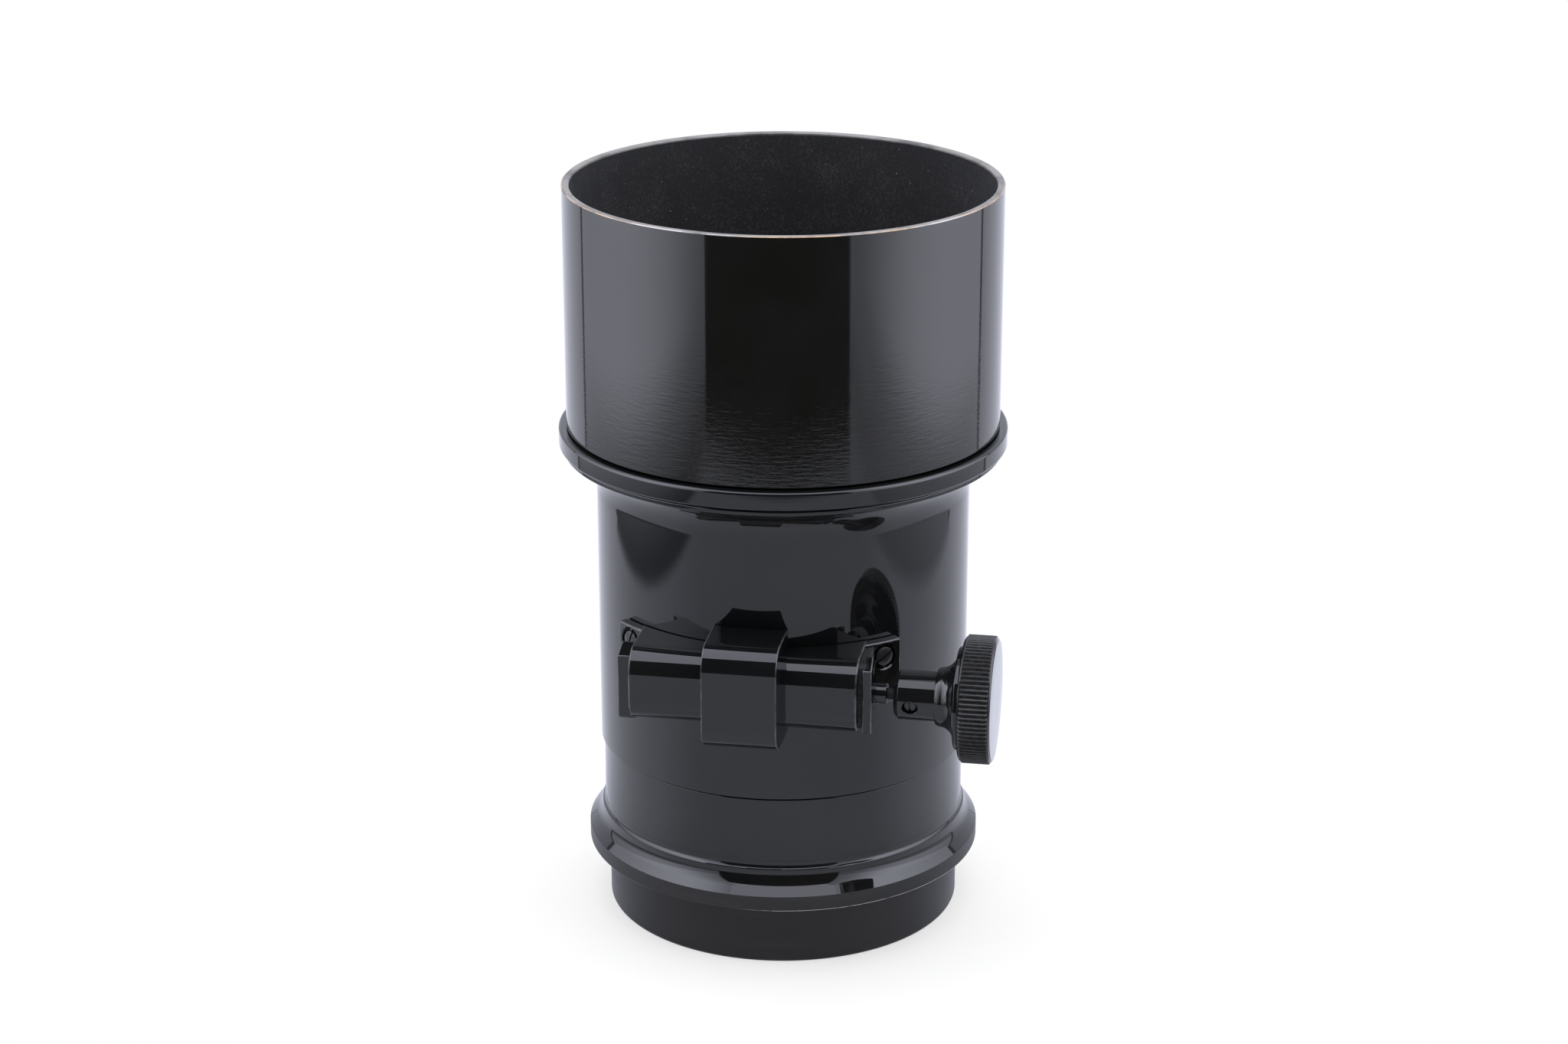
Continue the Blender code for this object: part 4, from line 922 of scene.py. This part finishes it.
# Camera where the photograph was taken
look = {
    "azimuth": 9.75, "reach": 523.13 * mm, "height": 254.01 * mm, "pitch": 19.6252, "lens": 75.456,
    "shift": 0.0005, "clip": 0.01,
}
heading = radians(look["azimuth"])
lens = bpy.data.cameras.new("camera")
lens.lens = look["lens"]
lens.shift_x = look["shift"]
lens.clip_start = look["clip"]
camera = bpy.data.objects.new("camera", lens)
camera.location = (look["reach"] * sin(heading), -look["reach"] * cos(heading), look["height"])
camera.rotation_euler = (pi / 2 - radians(look["pitch"]), 0, heading)
scene.collection.objects.link(camera)
scene.camera = camera
scene.view_settings.view_transform = "Standard"

# White floor and a light tent round the lens, open and dark towards the camera
tentLook = {
    "tint": (0.93, 0.955, 1.1), "ambient": 0.3, "dark": 0.02,
    "floorHalf": 4.0, "floorWhite": (0.86, 0.86, 0.87, 1), "nearGlow": 0.6, "nearRange": (0.04, 0.11),
    "leftEdge": 38.2, "rightEdge": 32.8, "openTop": 55.0, "openReach": 1.2, "openSteps": 12,
    "groundLevel": 0.87, "groundLift": 0.2 * mm, "groundReach": 1.4, "groundShadow": 0.62,
    "groundShadowRange": (0.038, 0.085), "groundSide": 0.3, "groundSideRange": (0.75, 1.3),
    "groundSoft": 0.02, "groundEdge": (0.274, 0.302), "edgeRound": 0.6, "edgeStraight": 0.4,
    "shadeOut": (0.184, 0.199), "shadeBack": (0.094, 0.104),
    "sideAt": 0.20, "sideHigh": 0.5, "sideBase": 0.95, "sidePeak": 1.9, "sidePeakAt": -0.065,
    "sideSpread": 0.122, "sideFall": 2.718, "sideFoot": (0.023, 0.050), "footRange": (0.0, 0.03),
    "footGlow": {-1: 0.25, 1: 0.65}, "highGlow": 0.6, "highRange": (0.076, 0.115),
    "postAngle": {-1: 119.5, 1: 116.0}, "postHalf": 0.005, "postGlow": 0.35,
    "roofHigh": 0.6, "roofFront": -0.42, "roofBack": 0.35, "roofHalf": 0.6, "roofGlow": 3.0,
}
look = tentLook
aroundCamera = Matrix.Rotation(heading, 4, "Z")


def stageMesh(name, verts, faces, material, reflected=True):
    mesh = bpy.data.meshes.new(name)
    mesh.from_pydata(verts, [], faces)
    mesh.materials.append(material)
    made = bpy.data.objects.new(name, mesh)
    made.matrix_world = aroundCamera
    scene.collection.objects.link(made)
    if reflected:   # seen only in the lacquer
        for ray in ("camera", "diffuse", "shadow", "transmission"):
            setattr(made, "visible_" + ray, False)


def levelSheet(name, half, front, back, height, material, reflected=True):
    corners = ((-half, front), (half, front), (half, back), (-half, back))
    stageMesh(name, [(x, y, height) for x, y in corners], [(0, 1, 2, 3)], material, reflected)


def stageBoard(name):
    board, place = newFinish(name)
    return finishes[name], board, board.node("ShaderNodeSeparateXYZ", {}, {0: place})


def shineBy(board, level):   # light of that level in the tent's tint
    tint = tentLook["tint"]
    colour = board.node("ShaderNodeVectorMath", {"operation": "SCALE"}, {0: tint, "Scale": level})
    light = board.node("ShaderNodeEmission", {}, {"Color": colour})
    board.node("ShaderNodeOutputMaterial", {}, {"Surface": light})


def plainShine(name, level):
    material, board, _ = stageBoard(name)
    shineBy(board, level)
    return material


def away(place):   # distance from the lens axis
    return (place * place + place.also(1) * place.also(1)) ** 0.5


floorMaterial, board, place = stageBoard("paleFloor")
path = board.node("ShaderNodeLightPath", {}, {}, "Is Camera Ray")
clear = look["nearGlow"] + board.between(away(place), *look["nearRange"]) * (1 - look["nearGlow"])
paper = board.node("ShaderNodeBsdfDiffuse", {}, {"Color": look["floorWhite"]})
glow = board.node("ShaderNodeEmission", {}, {"Color": (1, 1, 1, 1)})
mixed = board.node("ShaderNodeMixShader", {}, {
    0: (path + path.also("Is Transmission Ray")) * clear, 1: paper, 2: glow})
board.node("ShaderNodeOutputMaterial", {}, {"Surface": mixed})
wide = look["floorHalf"]
levelSheet("floor", wide, -wide, wide, 0, floorMaterial, False)

# The floor as the lacquer sees it: white, brighter beside the lens, with a painted shadow close round the
# lens, dark beyond the table's front edge
leftTurn = -radians(look["leftEdge"])
rightTurn = radians(look["rightEdge"])
soft = look["groundSoft"]
material, board, place = stageBoard("groundSeen")
reach = away(place)
bearing = reach.sum("ARCTAN2", place, place.also(1) * -1.0)
inFront = board.between(bearing, leftTurn - soft, leftTurn + soft)
inFront = inFront * (1 - board.between(bearing, rightTurn - soft, rightTurn + soft))
beside = board.between(bearing.sum("ABSOLUTE", bearing, 0.0), *look["groundSideRange"])
# painted shadow of the lens on the reflected floor, darkest at the lens's foot
near = look["groundShadow"] + board.between(reach, *look["groundShadowRange"]) * (1 - look["groundShadow"])
level = look["groundLevel"] * (1 + beside * look["groundSide"]) * near
for side, glowLevel in look["footGlow"].items():   # shade at the foot of each side panel
    shade = board.between(place * side, *look["shadeOut"])
    shade = shade * (1 - board.between(place.also(1), *look["shadeBack"]))
    level = level * (1 - shade * (1 - glowLevel))
edge = reach * look["edgeRound"] - place.also(1) * look["edgeStraight"]   # partly round, partly straight
beyond = board.between(edge, *look["groundEdge"]) * inFront
shineBy(board, level * (1 - beyond) + beyond * look["dark"])
wide = look["groundReach"]
levelSheet("ground_seen", wide, -wide, wide, look["groundLift"], material)

# The dark opening: from the floor up to the overhead panel
verts = []
faces = []
steps = look["openSteps"]
reach = look["openReach"]
for i in range(steps + 1):
    lift = radians(look["openTop"]) * i / steps
    for j in range(steps + 1):
        turn = leftTurn + (rightTurn - leftTurn) * j / steps
        verts.append((reach * cos(lift) * sin(turn), -reach * cos(lift) * cos(turn), reach * sin(lift)))
for i in range(steps):
    for j in range(steps):
        a = i * (steps + 1) + j
        faces.append((a, a + 1, a + steps + 2, a + steps + 1))
stageMesh("dark_opening", verts, faces, plainShine("darkRoom", look["dark"]))

# Side panels, brightest beside the lens and higher up, shaded at the foot, each ending at a post
post = plainShine("tentPost", look["postGlow"])
high = look["sideHigh"]
for side, word, front in ((-1, "left", look["leftEdge"]), (1, "right", look["rightEdge"])):
    material, board, place = stageBoard("panel_" + word)
    offset = (place.also(1) - look["sidePeakAt"]) / look["sideSpread"]
    bright = look["sideBase"] + look["sidePeak"] * look["sideFall"] ** (offset * offset * -1.0)
    glowLevel = look["footGlow"][side]
    foot = glowLevel + board.between(place.also(2), *look["footRange"]) * (1 - glowLevel)
    rise = board.between(place.also(2), *look["sideFoot"])
    lift = 1 + board.between(place.also(2), *look["highRange"]) * look["highGlow"]
    shineBy(board, foot * (1 - rise) + bright * rise * lift)
    x = side * look["sideAt"]
    start = -look["sideAt"] / tan(radians(front))
    end = look["sideAt"] * tan(radians(look["postAngle"][side] - 90)) - look["postHalf"]
    for name, first, last, finish in (("panel_", start, end, material),
                                      ("post_", end, end + 2 * look["postHalf"], post)):
        corners = [(x, first, 0), (x, last, 0), (x, last, high), (x, first, high)]
        stageMesh(name + word, corners, [(0, 1, 2, 3)], finish)

# The overhead panel that the tops of the bar, the block and the hub pick up
levelSheet("roof_panel", look["roofHalf"], look["roofFront"], look["roofBack"], look["roofHigh"],
           plainShine("roofPanel", look["roofGlow"]))

# Lamps for the floor and the flat paint: centre, aim, width, height, watts per square metre
lampLook = {
    "lamp_above": ((0, 0.1, 1.1), (0, 0, -1), 1.4, 1.4, 10.4),
    "lamp_left": ((-0.8, -0.1, 0.5), (1, 0.1, -0.3), 0.9, 0.8, 4.8),
    "lamp_right": ((0.8, -0.1, 0.5), (-1, 0.1, -0.3), 0.9, 0.8, 4.8),
}
for name, (centre, aim, width, height, watts) in lampLook.items():
    light = bpy.data.lights.new(name, "AREA")
    light.shape = "RECTANGLE"
    light.size = width
    light.size_y = height
    light.energy = watts * width * height
    made = bpy.data.objects.new(name, light)
    made.location = aroundCamera @ Vector(centre)
    made.rotation_euler = (aroundCamera.to_3x3() @ Vector(aim)).to_track_quat("-Z", "Y").to_euler()
    made.visible_camera = False
    made.visible_glossy = False
    scene.collection.objects.link(made)

world = bpy.data.worlds.new("tent")
scene.world = world
world.use_nodes = True
board = Board(world.node_tree)
path = board.node("ShaderNodeLightPath", {}, {}, "Is Camera Ray")
shiny = path.also("Is Glossy Ray")
seen = path + shiny + path.also("Is Transmission Ray")
seen = seen.sum("MINIMUM", seen, 1.0)
level = look["ambient"] + seen * (1 - look["ambient"])
colour = board.blend(shiny, (1, 1, 1, 1), (*look["tint"], 1))
sky = board.node("ShaderNodeBackground", {}, {"Color": colour, "Strength": level})
board.node("ShaderNodeOutputWorld", {}, {"Surface": sky})
print("camera, floor and lights set")
